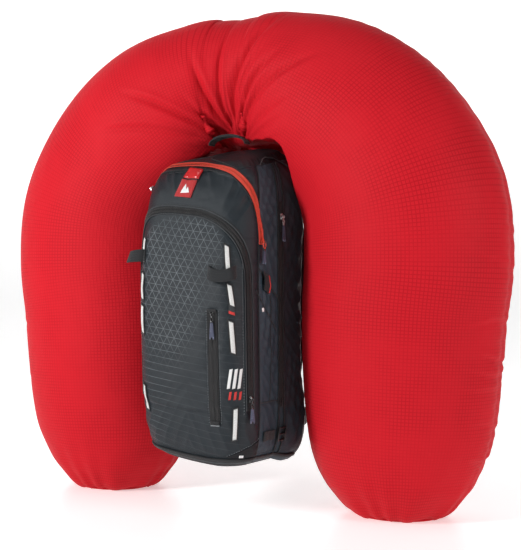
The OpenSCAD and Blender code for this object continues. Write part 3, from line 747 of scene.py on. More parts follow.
def section(s):
    """The plan of the pack: x and y at s metres round it."""
    side = np.sign(s)
    s = np.abs(s)
    a = np.clip((s - FRONT_FLAT) / CORNER_ARC, 0, 1) * math.pi / 2
    b = np.clip((s - S_CORNER - SIDE_RUN) / REAR_ARC, 0, 1) * math.pi / 2
    t = np.clip((s - S_CORNER) / SIDE_RUN, 0, 1)
    x = (np.minimum(s, FRONT_FLAT) + CORNER_R * np.sin(a) + (SIDE_B - SIDE_A)[0] * t
         - REAR_R * (1 - np.cos(b)))
    y = FRONT_Y + CORNER_R * (1 - np.cos(a)) + (SIDE_B - SIDE_A)[1] * t + REAR_R * np.sin(b)
    return side * (x - np.maximum(s - S_REAR, 0)), y


def pack_shell(s, z):
    """Points of the pack's surface, s metres round it from the middle of its front, at height z."""
    s, z = np.broadcast_arrays(np.asarray(s, float), np.asarray(z, float))
    x, y = section(s)
    rel = np.minimum(np.abs(z - MIDDLE_Z) / (PACK_H / 2), 1)
    k = (1 - rel ** 7) ** (1 / 7)
    u = np.clip((z - BASE_Z) / PACK_H / 0.38 - 1.63, 0, 1) ** 2
    front = np.clip((CENTRE_Y - y) / (DEPTH / 2), 0, 1)
    bulged = y - CROWN * front * (1 - (x / FRONT_W * 2) ** 2)
    low = 1 - 0.06 * (1 - np.clip((z - BASE_Z) / (0.6 * PACK_H), 0, 1))
    px = x * (1 - 0.06 * u) * k
    y = CENTRE_Y + (bulged - CENTRE_Y) * k
    py = BACK_Y + (y - BACK_Y) * (1 - 0.2 * u) * low
    slack = np.maximum(0.04 - px, 0)
    hang = (0.08 * slack + 0.45 * slack ** 2) * (1 - smooth(z, BASE_Z, BASE_Z + 0.17))
    rise = TOP_TILT * u * (1 + (y - BACK_Y) / DEPTH) * (0.35 + 0.65 * smooth(px, -0.13, 0.02))
    return np.stack([px, py, z + rise + hang], -1)


def pack_normal(s, z):
    """Unit vectors that point out of the pack's surface."""
    d = 0.001
    a, b = pack_shell(s - d, z), pack_shell(s + d, z)
    c, e = pack_shell(s, z - d), pack_shell(s, z + d)
    return unit(np.cross(b - a, e - c))


def cloth_wrinkles(s, z, size, stretch=(1, 1)):
    """Slack of stretched cloth: -1..1 for each point, in waves of about size metres."""
    out = np.zeros(s.shape)
    flat = out.ravel()
    for i, (a, b) in enumerate(zip(s.ravel() / size / stretch[0], z.ravel() / size / stretch[1])):
        flat[i] = noise.noise(Vector((a, b, 0.37)))
    return out


def solidified(obj, thickness):
    mod = obj.modifiers.new("thickness", "SOLIDIFY")
    mod.thickness = thickness
    mod.offset = -1


def pack_cloth(name, s0, s1, z0, z1, material, replaces, step=0.003):
    columns = max(6, int(abs(s1 - s0) / step) + 1)
    rows = max(6, int((z1 - z0) / step) + 1)
    s, z = np.meshgrid(np.linspace(s0, s1, columns), np.linspace(z0, z1, rows))
    lift = 0.4 * MM + pack_relief(s, z)
    p = pack_shell(s, z) + pack_normal(s, z) * lift[..., None]
    uv = np.stack([s, z], -1).reshape(-1, 2)
    obj = new_object(name, p.reshape(-1, 3), grid_faces(rows, columns, False), uv)
    solidified(fitted(obj, material, "pack", replaces), 2.0 * MM)


# Heights as shares of half the pack's height: ends of the panels, the caps and the piping
PANEL_FOOT = -0.965
CAP = 0.9345
BASE_CAP = -0.9655
LINER_TOP = 0.66
PIPING = 0.93
# The wing patch on the sides: its foot, and its upper seam at the corner and the slope of that seam
PATCH_FOOT = 0.210
PATCH_TOP = 0.452
PATCH_SLOPE = 0.9


def level(t):
    """The height at a share of half the pack's height, from -1 at the foot to 1 at the top."""
    return MIDDLE_Z + t * PACK_H / 2


def groove(distance, width, depth):
    return -depth * bell(distance, 0, width)


def inside_arch(s, z):
    """How far inside the arched zip a point is, in metres; 0 outside."""
    width = np.where(s > 0, ARCH_S, ARCH_LEFT)
    power = np.where(s > 0, ARCH_POWER, ARCH_LEFT_POWER)
    h = np.maximum(z + LEAN * s - ARCH_FOOT, 0) / ARCH_RISE
    r = ((np.abs(s) / width) ** power + h ** power) ** (1 / power)
    return np.maximum(1 - r, 0) * ARCH_S * smooth(z, 0.19, 0.22)


def arch_route():
    def arc(width, power, angles, side):
        s = width * np.cos(angles) ** (2 / power)
        z = ARCH_FOOT + ARCH_RISE * (1 - (s / width) ** power) ** (1 / power) - LEAN * side * s
        return list(zip(side * s, z))
    right = [(ARCH_S, z) for z in np.arange(0.200, ARCH_FOOT - 0.014, 0.036)]
    left = [(-ARCH_LEFT, z) for z in np.arange(ARCH_FOOT, 0.200, -0.036)]
    return (right + arc(ARCH_S, ARCH_POWER, np.radians(np.arange(4, 85, 8)), 1)
            + arc(ARCH_LEFT, ARCH_LEFT_POWER, np.radians(np.arange(84, 3, -8)), -1) + left)


ARCH = arch_route()
TOP_FOOT = (0.151, 0.490)
TOP_ROUTE = [TOP_FOOT, (0.149, 0.510), (0.145, 0.524), (0.133, 0.556), (0.122, 0.577),
             (0.109, 0.594), (0.094, 0.609), (0.078, 0.620), (0.052, 0.627), (0.022, 0.631),
             (-0.010, 0.633), (-0.045, 0.634), (-0.080, 0.634), (-0.108, 0.632), (-0.124, 0.625),
             (-0.131, 0.611), (-0.133, 0.590),]
ARCH_LINE = catmull(ARCH, 2)
TOP_LINE = catmull(TOP_ROUTE, 5)
SMALL_ZIP = [(SMALL_S, z) for z in np.linspace(SMALL_LOW, SMALL_TOP, 8)]


def distance_to(line, s, z):
    """Metres along the surface from each point to a line of stations."""
    best = np.full(np.shape(s), FAR)
    for a, b in line:
        best = np.minimum(best, np.hypot(s - a, z - b))
    return best


def pack_relief(s, z):
    """How far the cloth stands off the plain shell: pockets, seams, gathers and slack."""
    s, z = np.broadcast_arrays(np.asarray(s, float), np.asarray(z, float))
    a = np.abs(s)
    d = inside_arch(s, z)
    to_arch = distance_to(ARCH_LINE, s, z)
    to_top = distance_to(TOP_LINE, s, z)
    near = np.abs(s - SMALL_S)
    span = (smooth(z, SMALL_LOW - 0.012, SMALL_LOW + 0.01)
            * (1 - smooth(z, SMALL_TOP - 0.01, SMALL_TOP + 0.012)))
    calm = (smooth(np.abs(S_CORNER - a), 0.002, 0.018) * smooth(np.abs(S_ZIP - a), 0.003, 0.018)
            * smooth(np.abs(S_REAR - a), 0.002, 0.018) * smooth(to_arch, 0.006, 0.020)
            * smooth(to_top, 0.007, 0.020) * smooth(z, 0.118, 0.14))
    calm = calm * (1 - 0.85 * span * bell(near, 0, 0.012))
    slack = (cloth_wrinkles(s, z, 0.075, (1, 1.5)) * 3.0 * MM
             + cloth_wrinkles(s + 3, z, 0.026, (1.5, 0.8)) * 1.1 * MM)
    on_side = smooth(a, S_CORNER, S_CORNER + 0.01)
    drape = (np.sin((a - 0.35 * z) * 2 * math.pi / 0.021 + 3 * np.sin(z * 19 + a * 30))
             * np.sin(z * 13 + a * 20))
    folds = np.abs(np.sin((z + a * 1.3) * 2 * math.pi / 0.060 + 2 * np.sin(z * 21))) ** 0.6
    low = 1 - smooth(z, 0.14, 0.30)
    out = calm * (slack + (drape * 0.8 - folds * 1.6) * MM * on_side
                  - folds * 1.6 * MM * low * (1 - on_side))
    # the rear of the sides stands out, most of all at the top and the foot
    rear = smooth(a, S_ZIP - 0.01, S_ZIP + 0.045) * (1 - smooth(a, S_REAR - 0.022, S_REAR + 0.006))
    out = out + rear * (8 * smooth(z, 0.44, 0.57) * (1 - smooth(z, 0.60, 0.634))
                        + 11 * (1 - smooth(z, 0.14, 0.26))) * MM
    # the pocket stands forward inside the arched zip
    out = out + 3.0 * MM * smooth(d, 0.008, 0.034)
    seam = (groove(S_CORNER - a, 0.006, 1.2 * MM) + groove(S_ZIP - a, 0.007, 1.2 * MM)
            + groove(S_REAR - a, 0.006, 1.0 * MM) + groove(to_arch, 0.007, 1.2 * MM)
            + groove(to_top, 0.008, 1.2 * MM))
    slant = (z - PATCH_TOP) + (a - S_CORNER) * PATCH_SLOPE
    between = (a > S_CORNER) & (a < S_ZIP)
    seam = seam + (groove(slant, 0.005, 1.8 * MM)
                   + groove(z - PATCH_FOOT, 0.005, 1.8 * MM)) * between
    small = groove(near, 0.012, 1.6 * MM) * span
    creases = (np.sin(z * 2 * math.pi / 0.017 + 5 * s / 0.05)
               * bell(near, 0.014, 0.010) * 0.4 * MM * span)
    # gathers that run into the orange zip from below
    phi = np.arctan2(z - 0.46, s)
    order = np.argsort(TOP_LINE[:, 0])
    ceiling = np.interp(s, TOP_LINE[order, 0], TOP_LINE[order, 1])
    under = (a < S_CORNER) & (z < ceiling) & (z > 0.50)
    run = 26 * phi + 1.8 * np.sin(phi * 7) - 60 * (z - 0.6)
    pleat = (1 - np.abs(np.sin(run))) ** 1.5 * (0.55 + 0.45 * np.sin(phi * 9.3 + 1))
    broad = np.abs(np.sin(phi * 11 + 1.6 * np.sin(phi * 7) - 20 * (z - 0.6)))
    gather = (3.4 * MM * pleat * bell(to_top, 0.012, 0.019)
              - 3.0 * MM * broad * bell(to_top, 0.016, 0.030))
    gather = gather * under * smooth(to_top, 0.0065, 0.011)
    over = (z > 0.55) & ~under
    gather = gather - (1.2 * MM * np.abs(np.sin(phi * 23)) * bell(to_top, 0.010, 0.007)
                       * over * (a < S_CORNER))
    # short puckers along the upright seams
    beat = np.sin(z * 2 * math.pi / 0.014 + 2.5 * np.sin(z * 47))
    for edge in (S_CORNER, S_ZIP, S_REAR):
        out = out + beat * 0.45 * MM * bell(np.abs(a - edge), 0.007, 0.006)
    return (out + seam + small + creases + gather) * (1 - smooth(z, 0.630, 0.6355))


def make_panels():
    low, top = level(PANEL_FOOT), level(CAP)
    pack_cloth("front_cloth", -S_CORNER, S_CORNER, low, top, PRINTED,
               ["front_panel", "upper_front_panel"], 0.0022)
    for side, k in SIDES:
        pack_cloth(f"side_cloth_{side}", k * S_CORNER, k * S_ZIP, low, top, SIDE_CLOTH,
                   [f"side_panel_{side}"], 0.002)
        pack_cloth(f"rear_cloth_{side}", k * S_ZIP, k * S_REAR, low, top, REAR_CLOTH,
                   [f"rear_side_panel_{side}"])
    pack_cloth("liner_cloth", S_REAR, 2 * S_BACK - S_REAR, low, level(LINER_TOP), REAR_CLOTH,
               ["back_liner"], 0.006)
    cap_cloth("top_cloth", CAP, TOP_CLOTH, "top_panel", 1)
    cap_cloth("base_cloth_skin", BASE_CAP, BASE_CLOTH, "base_panel", -1)


def cap_cloth(name, start, material, node, sign):
    s = np.linspace(-S_BACK, S_BACK, 300, endpoint=False)
    t = np.concatenate([np.linspace(abs(start), 0.99, 10), [0.995, 0.998, 0.9993, 0.9999]])
    rings = []
    for v in t:
        z = np.full(s.shape, MIDDLE_Z + sign * v * PACK_H / 2)
        lift = (0.4 * MM + pack_relief(s, z)) if sign > 0 and v < 0.985 else 0 * z
        rings.append(pack_shell(s, z) + pack_normal(s, z) * lift[:, None])
    last = rings[-1]
    middle = last.mean(0)
    for share in np.linspace(0.92, 0.04, 14):
        ring = middle + (last - middle) * share
        ring[:, 2] = middle[2] + (last[:, 2] - middle[2]) * share
        rings.append(ring)
    p = np.array(rings)
    n = np.zeros_like(p)
    n[..., 2] = sign
    bulge = np.linspace(0, 1, len(p))[:, None]
    waves = np.array([[noise.noise(Vector((x * 22, y * 22, 4.0))) for x, y, _ in ring]
                      for ring in p])
    pucker = (np.sin(s[None] * 2 * math.pi / 0.016 + 2 * np.sin(s[None] * 41))
              * bell(bulge, 0, 0.35))
    if sign > 0:
        p = p + n * (waves * 1.4 * MM * smooth(bulge, 0.05, 0.4) + pucker * 0.5 * MM)[..., None]
    p = p.reshape(-1, 3)
    uv = p[:, :2]
    faces = grid_faces(len(rings), len(s), True)
    faces.append(tuple((len(rings) - 1) * len(s) + i for i in range(len(s))))
    if sign < 0:
        faces = [f[::-1] for f in faces]
    obj = new_object(name, p, faces, uv)
    solidified(fitted(obj, material, "pack", [node]), 1.6 * MM)


# Tapes, zips, piping and stitches on the pack ----------------------------------------------------
def on_route(route, lift, spacing=0.004, smooth_steps=6):
    """Points of the pack's surface and their outward directions along stations (s, z)."""
    line = catmull(route, smooth_steps) if smooth_steps > 1 else np.asarray(route, float)
    length = np.concatenate([[0], np.cumsum(np.linalg.norm(np.diff(line, axis=0), axis=1))])
    marks = np.linspace(0, length[-1], max(3, int(length[-1] / spacing)))
    line = np.stack([np.interp(marks, length, line[:, k]) for k in (0, 1)], 1)
    n = pack_normal(line[:, 0], line[:, 1])
    up = lift + pack_relief(line[:, 0], line[:, 1])
    return pack_shell(line[:, 0], line[:, 1]) + n * up[:, None], n


def offset(route, by):
    """The route moved to its right by so many metres."""
    line = catmull(route, 6)
    t = unit(np.gradient(line, axis=0))
    return line + np.stack([t[:, 1], -t[:, 0]], 1) * by


def side_zip(k):
    return [(k * S_ZIP, z) for z in np.linspace(0.198, 0.560, 11)]


def frames_along(path, out):
    """Unit side, forward and outward directions along a path."""
    t = unit(np.gradient(path, axis=0))
    o = unit(out - (out * t).sum(1, keepdims=True) * t)
    return np.cross(o, t), t, o


def teeth_part(route, lift, pitch=2.1 * MM, size=(2.6, 1.15, 1.1)):
    """The coil of a zip: small beads, left and right in turn."""
    path, out = on_route(route, lift, spacing=pitch)
    side, t, o = frames_along(path, out)
    w, l, h = (v * MM for v in size)
    parts = []
    for i in range(len(path)):
        x = (0.45 if i % 2 else -0.45) * MM
        part = block((w, l, h), (x, 0, h / 2), 0.3)
        parts.append(placed(part, path[i], side[i], t[i], o[i]))
    return merge(parts)


def make_zip(name, route, lift, width, tape, coil, node, coil_width=2.6, narrow=1.0):
    """narrow is the share of the width that is left where the zip runs over the top."""
    half = width / 2
    gap = 0.5 * MM
    band = half - gap
    line = catmull(route, 6)
    share = (1 - (1 - narrow) * (1 - smooth(line[:, 0], 0.03, 0.11)) if narrow < 1
             else np.ones(len(line)))
    tapes = []
    for k in (-1, 1):
        middle = k * (gap + band * share / 2)
        path, out = on_route(offset(route, middle[:, None]), lift, smooth_steps=1)
        marks = np.linspace(0, 1, len(path))
        tapes.append(swept(path, out, band_profile(band, 1.0 * MM),
                           np.interp(marks, np.linspace(0, 1, len(line)), share)))
    piece(name + "_tapes", merge(tapes), tape, "pack", [node] if node else ())
    piece(name + "_coil", teeth_part(route, lift + 0.5 * MM, size=(coil_width, 1.15, 1.1)), coil,
          "pack")


def stitch_part(route, lift, pitch=3.6 * MM, length=2.3 * MM, r=0.32 * MM):
    path, out = on_route(route, lift, spacing=pitch, smooth_steps=1)
    side, t, o = frames_along(path, out)
    dash = block((2 * r, length, 1.6 * r), (0, 0, 0), 0.35)
    return merge([placed(dash, path[i], side[i], t[i], o[i]) for i in range(len(path))])


def cord_part(route, lift, r, smooth_steps=6):
    path, out = on_route(route, lift, smooth_steps=smooth_steps)
    return swept(path, out, round_profile(r, 10))


def make_trims():
    zip_lift = 2.0 * MM
    make_zip("arch_zip", ARCH, zip_lift, 10.0 * MM, TAPE, BLACK_PLASTIC,
             "tool_pocket_zip")
    make_zip("orange_zip", TOP_ROUTE, zip_lift, 13.0 * MM, ORANGE_TAPE, ORANGE_PLASTIC,
             "top_zip", 2.6, 0.45)
    make_zip("small_zip", SMALL_ZIP, zip_lift, 15.0 * MM, TAPE, BLACK_PLASTIC,
             "small_pocket_zip")
    make_zip("side_zip_right", side_zip(1), zip_lift, 9.0 * MM, TAPE, BLACK_PLASTIC,
             "airbag_zip")
    make_zip("side_zip_left", side_zip(-1), zip_lift, 9.0 * MM, TAPE, BLACK_PLASTIC,
             None)
    outer = cord_part(offset(ARCH, 7.4 * MM), 1.6 * MM, 1.3 * MM, 1)
    inner = cord_part(offset(ARCH, -7.2 * MM), 1.8 * MM, 1.1 * MM, 1)
    piece("arch_piping", merge([outer, inner]), GREY_CORD, "pack")
    above = cord_part(offset(TOP_ROUTE, 8.0 * MM), 0.8 * MM, 1.0 * MM, 1)
    below = cord_part(offset(TOP_ROUTE, -8.0 * MM), 1.0 * MM, 0.9 * MM, 1)
    piece("top_zip_piping", merge([above, below]), DARK_CORD, "pack")
    welts = [cord_part([(SMALL_S + k * 8.6 * MM, z) for z in np.linspace(SMALL_LOW, SMALL_TOP, 30)],
                       1.2 * MM, 1.2 * MM) for k in (-1, 1)]
    piece("small_zip_welts", merge(welts), DARK_CORD, "pack")
    for side, k in SIDES:
        seam = [(k * S_CORNER, z) for z in np.linspace(level(-PIPING), level(PIPING), 30)]
        piece(f"corner_piping_{side}", cord_part(seam, 0.8 * MM, 1.2 * MM), DARK_CORD, "pack")
        rear = [(k * (S_REAR - 0.004), z) for z in np.linspace(level(-PIPING), level(PIPING), 30)]
        piece(f"rear_piping_{side}", cord_part(rear, 0.8 * MM, 1.6 * MM), DARK_CORD, "pack")
        flank = [(k * S_ZIP, z) for z in np.linspace(level(-PIPING), level(PIPING), 30)]
        flaps = [cord_part([(s + k * by, z) for s, z in flank], 1.4 * MM, 1.5 * MM)
                 for by in (-0.0075, 0.0085)]
        piece(f"flank_piping_{side}", merge(flaps), DARK_CORD, "pack")
    rims = [[(k * s, z) for s, z in ((0.158, 0.622), (0.185, 0.630), (0.212, 0.630), (0.240, 0.622),
                                     (0.266, 0.606), (0.290, 0.596))] for k in (-1, 1)]
    piece("rim_piping", merge([cord_part(rim, 1.2 * MM, 1.1 * MM) for rim in rims]), GREY_CORD,
          "pack")
    hem = [(s, 0.112) for s in np.linspace(-S_REAR + 0.036, S_REAR - 0.036, 60)]
    path, out = on_route(hem, 0.4 * MM, smooth_steps=1)
    piece("base_hem", strap(path, out, 7.5, 3.4), WEBBING, "pack", ["base_piping"])
    stitches = [stitch_part(offset(ARCH, 10.4 * MM), 0.7 * MM),
                stitch_part([(s, 0.119) for s in np.linspace(-0.24, 0.24, 120)], 0.7 * MM)]
    piece("front_stitching", merge(stitches), THREAD_DARK, "pack")
    pale = [stitch_part([(SMALL_S + k * 11.6 * MM, z)
                         for z in np.linspace(SMALL_LOW, SMALL_TOP, 70)], 0.7 * MM, 4.4 * MM)
            for k in (-1, 1)]
    pale += [stitch_part([(k * (ARCH_S - 0.0115), z) for z in np.linspace(0.195, 0.455, 80)],
                         0.7 * MM, 5.0 * MM) for k in (1, -1)]
    piece("pale_stitching", merge(pale), THREAD, "pack")
    corner = np.linspace(0.078, S_CORNER - 0.002, 30)
    s, v = np.meshgrid(corner, np.linspace(0, 1, 16))
    z = 0.1165 + v * ((s - 0.078) * 0.42 + 0.002)
    piece("corner_patch", pack_sheet(s, z, 0.8 * MM + 0 * s, 0.8 * MM), BASE_CLOTH, "pack")
    hemline = [(a, 0.1165 + (a - 0.078) * 0.42 + 0.004) for a in corner]
    piece("corner_patch_stitching", stitch_part(hemline, 1.0 * MM, 4.2 * MM), THREAD, "pack")
    piece("corner_tab", laid(0.104, 0.1175, 0.1215, 0.008, 1.6 * MM, 1.0 * MM), WHITE_PRINT, "pack")


# Strips, badge and loops -------------------------------------------------------------------------
def pack_sheet(s, z, up, thick):
    """A closed thin piece over a grid of stations, its underside up above the cloth."""
    rows, columns = s.shape
    up = up + pack_relief(s, z)
    shell, normal = pack_shell(s, z), pack_normal(s, z)
    inner, outer = (shell + normal * (up + extra)[..., None] for extra in (0, thick))
    n = rows * columns
    faces = grid_faces(rows, columns, False)
    back = [tuple(i + n for i in f[::-1]) for f in faces]
    ring = ([j for j in range(columns)] + [j * columns + columns - 1 for j in range(1, rows)]
            + [(rows - 1) * columns + j for j in range(columns - 2, -1, -1)]
            + [j * columns for j in range(rows - 2, 0, -1)])
    rim = [(ring[i], ring[i - 1], ring[i - 1] + n, ring[i] + n) for i in range(len(ring))]
    uv = np.stack([s - s.mean(), z - z.min()], -1).reshape(-1, 2)
    return np.concatenate([inner.reshape(-1, 3),
                           outer.reshape(-1, 3)]), faces + back + rim, np.concatenate([uv, uv])


def laid(s0, z0, z1, width, lift, thick, skew=0.0, bow=0.0, lean=0.0):
    """A strip of tape laid upright on the pack.

    skew slants its ends, lean its run, and bow raises its middle.
    """
    rows, columns = max(8, int((z1 - z0) / 0.002)), 9
    u, v = np.meshgrid(np.linspace(-width / 2, width / 2, columns), np.linspace(0, 1, rows))
    return pack_sheet(s0 + u + lean * (v - 0.5), z0 + (z1 - z0) * v + skew * u,
                      lift + bow * np.sin(math.pi * v), thick)


STRIPS = [
    # station, foot, top, slant of the ends, lean
    (0.082, 0.436, 0.487, -0.6, -0.004), (0.087, 0.384, 0.420, -0.5, -0.004),
    (0.088, 0.302, 0.356, -0.45, -0.003), (0.091, 0.150, 0.204, 0.3, 0.002),
    (-0.091, 0.462, 0.503, -0.5, 0.0), (-0.091, 0.395, 0.440, -0.5, 0.001),
    (-0.091, 0.334, 0.382, -0.5, 0.002), (-0.091, 0.188, 0.237, -0.5, -0.004),
]
STRIP_W = 0.0112


def make_strips():
    backs, fronts, tacks = [], [], []
    for s, low, high, skew, lean in STRIPS:
        backs.append(laid(s, low - 0.003, high + 0.003, STRIP_W, 0.7 * MM, 0.9 * MM, skew, 0.5 * MM,
                          lean))
        fronts.append(laid(s, low, high, STRIP_W - 4.6 * MM, 1.5 * MM, 0.7 * MM, skew, 0.8 * MM,
                           lean))
        for z, k in ((low - 0.001, 0.5), (high + 0.001, -0.5)):
            tacks.append(laid(s - lean * k, z - 0.7 * MM, z + 0.7 * MM, STRIP_W * 0.75, 1.7 * MM,
                              0.8 * MM, skew))
    piece("strip_backs", merge(backs), WEBBING, "pack", ["daisy_chains"])
    piece("strip_faces", merge(fronts), PALE_BAND, "pack")
    piece("strip_tacks", merge(tacks), THREAD_DARK, "pack")
    piece("strip_block", laid(0.088, 0.374, 0.383, 0.009, 1.4 * MM, 1.4 * MM, -0.4), THREAD_DARK,
          "pack")
    piece("strip_tag", laid(0.088, 0.369, 0.374, 0.009, 1.4 * MM, 1.2 * MM, -0.4), RED_PRINT,
          "pack")
    at, x, up, out = pack_place(0.088, 0.348, 4.6 * MM)
    snap = lathe([(3.6 * MM, 0), mm(3.4, 0.9), mm(2.6, 1.4), mm(1.0, 1.1)])
    piece("strip_snap", placed(snap, at, x, up, out), BLACK_PLASTIC, "pack")


def triangle_part(s0, z0, width, height, lift, thick):
    """A solid triangle laid on the pack."""
    u, v = np.meshgrid(np.linspace(-0.5, 0.5, 9), np.linspace(0, 1, 12))
    return pack_sheet(s0 + u * width * (1.02 - v), z0 + height * v, lift + 0 * u, thick)


def make_badge():
    upper = laid(-0.0085, 0.6095, 0.6265, 0.037, 1.2 * MM, 1.8 * MM, -LEAN, 1.2 * MM, 0.003)
    lower = laid(-0.0150, 0.5760, 0.6070, 0.037, 1.2 * MM, 1.6 * MM, -LEAN, 0, 0.006)
    gap = laid(-0.0112, 0.6055, 0.6105, 0.0385, 0.8 * MM, 1.0 * MM, -LEAN)
    piece("badge", upper, RED_PLASTIC, "pack", ["badge_tab"])
    piece("badge_foot", lower, BADGE, "pack")
    piece("badge_gap", gap, BLACK_PLASTIC, "pack")
    marks = [triangle_part(-0.0175, 0.583, 0.013, 0.017, 2.9 * MM, 0.3 * MM),
             triangle_part(-0.0105, 0.583, 0.011, 0.011, 3.2 * MM, 0.3 * MM)]
    piece("badge_mark", merge(marks), WHITE_PRINT, "pack")
    # generic white bars over short red ones, low on the pocket
    white = [laid(0.0830 + k * 0.0084, 0.2400, 0.2740, 0.0050, 0.7 * MM, 0.3 * MM, 0.25, 0, 0.005)
             for k in (0, 1, 2)]
    red = [laid(0.0830 + k * 0.0084, 0.2205, 0.2345, 0.0040, 0.7 * MM, 0.3 * MM, 0.25, 0, 0.002)
           for k in (0, 1, 2)]
    piece("front_print", merge(white), WHITE_PRINT, "pack")
    piece("front_print_red", merge(red), RED_PRINT, "pack")


LOOPS = [
    # station, height, half span, stand-off, sag of the middle
    (0.072, 0.442, 0.022, 0.014, 0.007), (-0.112, 0.472, 0.022, 0.026, 0.004),
]


def axe_loop_part(s, z, span, stand, sag):
    a = pack_shell(s - span, z) + pack_normal(s - span, z) * 3 * MM
    b = pack_shell(s + span, z) + pack_normal(s + span, z) * 3 * MM
    a, b = a.reshape(3), b.reshape(3)
    o = pack_normal(s, z).reshape(3)
    side = unit(b - a)
    t = np.linspace(0, math.pi, 48)[:, None]
    half = np.linalg.norm(b - a) / 2
    c, h = np.cos(t), np.sin(t)
    path = (a + b) / 2 - side * half * np.sign(c) * np.abs(c) ** 0.8 + o * stand * h ** 0.8
    path[:, 2] -= (sag * h[:, 0] ** 1.5)
    out = o * (0.2 + h) - side * c + np.array([0, 0, 0.35]) * h
    return strap(path, out, 22, 1.8)


def make_loops():
    piece("axe_bands", merge([axe_loop_part(*loop) for loop in LOOPS]), ELASTIC, "pack",
          ["axe_loops"])
    tacks = []
    for s, z, span, _, _ in LOOPS:
        for k in (-span, span):
            tacks.append(laid(s + k, z - 0.011, z + 0.011, 0.005, 1.4 * MM, 1.8 * MM))
    piece("axe_band_tacks", merge(tacks), THREAD_DARK, "pack")


# The haul loop: its middle, half width and rise
HAUL = (0.016, -0.066, 0.680)
HAUL_HALF = 0.036
HAUL_RISE = 0.015


def make_haul():
    t = np.linspace(0, math.pi, 60)[:, None]
    x, y, z = HAUL
    path = np.concatenate([x - HAUL_HALF * np.cos(t), 0 * t + y, z + HAUL_RISE * np.sin(t)], 1)
    out = np.concatenate([-np.cos(t), 0 * t, 0.2 + np.sin(t)], 1)
    piece("haul_webbing", strap(path, out, 22, 3), WEBBING, "haul",
          ["haul_handle"])
    grip = strap(path[14:46], out[14:46], 24, 4.6)
    grip = (grip[0] - np.array([0, 0, 0.0006]), grip[1], grip[2])
    piece("haul_grip", grip, ELASTIC, "haul")


# Sliders and pulls -------------------------------------------------------------------------------
BAR = 4.6 * MM
SLIDERS = {
    # node stem: body stem, place (s, z, lift), finish of the slider, length of the pull in mm
    "tool_pocket": ("tool", (ARCH_S, 0.220, 3.0 * MM), "gloss", 38),
    "small_pocket": ("small", (SMALL_S, 0.371, 3.0 * MM), "gloss", 42),
    "airbag_zip": ("side", (S_ZIP, 0.536, 3.4 * MM), "steel", 42),
    "top_zip": ("top", (TOP_FOOT[0], TOP_FOOT[1] + 0.004, 3.2 * MM), "orange", 36),
}


def pack_place(s, z, lift):
    o = pack_normal(s, z).reshape(3)
    rise = (pack_shell(s, z + 0.02) - pack_shell(s, z - 0.02)).reshape(3)
    side = unit(np.cross(rise, o))
    up = np.cross(o, side)
    return pack_shell(s, z).reshape(3) + o * lift, side, up, o


def ring_part(radius, wire, at, normal_axis=0, stretch=1.0, steps=28):
    """A closed ring of wire whose plane is square to an axis."""
    a = np.linspace(0, 2 * math.pi, steps, endpoint=False)
    u, v = radius * np.cos(a), radius * stretch * np.sin(a)
    zero = np.zeros_like(a)
    axes = {0: (zero, u, v), 1: (u, zero, v), 2: (u, v, zero)}[normal_axis]
    centre = np.stack(axes, 1)
    t = unit(np.roll(centre, -1, 0) - np.roll(centre, 1, 0))
    n = np.zeros(3)
    n[normal_axis] = 1
    side = np.cross(t, n)
    b = np.linspace(0, 2 * math.pi, 10, endpoint=False)
    verts = centre[:, None] + wire * (np.cos(b)[None, :, None] * side[:, None]
                                      + np.sin(b)[None, :, None] * n)
    m = len(b)
    faces = [(i * m + j, i * m + (j + 1) % m, (i + 1) % steps * m + (j + 1) % m,
              (i + 1) % steps * m + j) for i in range(steps) for j in range(m)]
    verts = verts.reshape(-1, 3) + np.array(at)
    return verts, faces, verts[:, :2]


def slider_part():
    """The body of a slider: two plates, a waist, side cheeks and the bridge that holds the pull."""
    lower = block(mm(7.6, 10.5, 1.4), (0, 0, 0.6 * MM), 0.35)
    upper = block(mm(6.6, 9.0, 1.2), mm(0, -0.2, 2.0), 0.4)
    nose = block(mm(4.2, 3.4, 1.6), mm(0, 4.4, 1.6), 0.4)
    cheeks = [block((1.1 * MM, 4.6 * MM, BAR), (k * 2.75 * MM, 0, 2.0 * MM + BAR / 4), 0.35)
              for k in (-1, 1)]
    bar = swept([(-3.2 * MM, 0, BAR), (0, 0, BAR), (3.2 * MM, 0, BAR)], [(0, 0, 1)] * 3,
                round_profile(0.8 * MM))
    return merge([lower, upper, nose, *cheeks, bar])


def pull_parts(length):
    """The eye on the bar, the flat tab, its wire and the moulded end that widens to a notch."""
    eye = ring_part(1.9 * MM, 0.75 * MM, (0, 0, BAR), 0)
    tab = block(mm(3.8, 6.0, 1.5), (0, -4.6 * MM, BAR), 0.3)
    loop = ring_part(2.6 * MM, 0.8 * MM, (0, -10.0 * MM, BAR), 2, 1.5)
    knot = block(mm(5.0, 4.0, 2.6), (0, -15.0 * MM, BAR), 0.3)
    start, end = 16.0 * MM, length * MM
    body = block((1.0, end - start, 2.4 * MM), (0, -(start + end) / 2, BAR), 0.0)
    share = np.clip((-body[0][:, 1] - start) / (end - start), 0, 1)
    verts = body[0].copy()
    verts[:, 0] = np.sign(verts[:, 0]) * (2.4 + 1.9 * share) * MM
    sides = [block(mm(2.0, 5.0, 2.8), (k * 3.0 * MM, -end - 1.0 * MM, BAR), 0.3) for k in (-1, 1)]
    ribs = [block(mm(4.2 + 0.7 * k, 1.2, 3.2), (0, -start - (3 + 3.2 * k) * MM, BAR), 0.3)
            for k in range(5)]
    return merge([eye, tab, loop, knot]), merge([(verts, body[1], body[2]), *sides, *ribs])


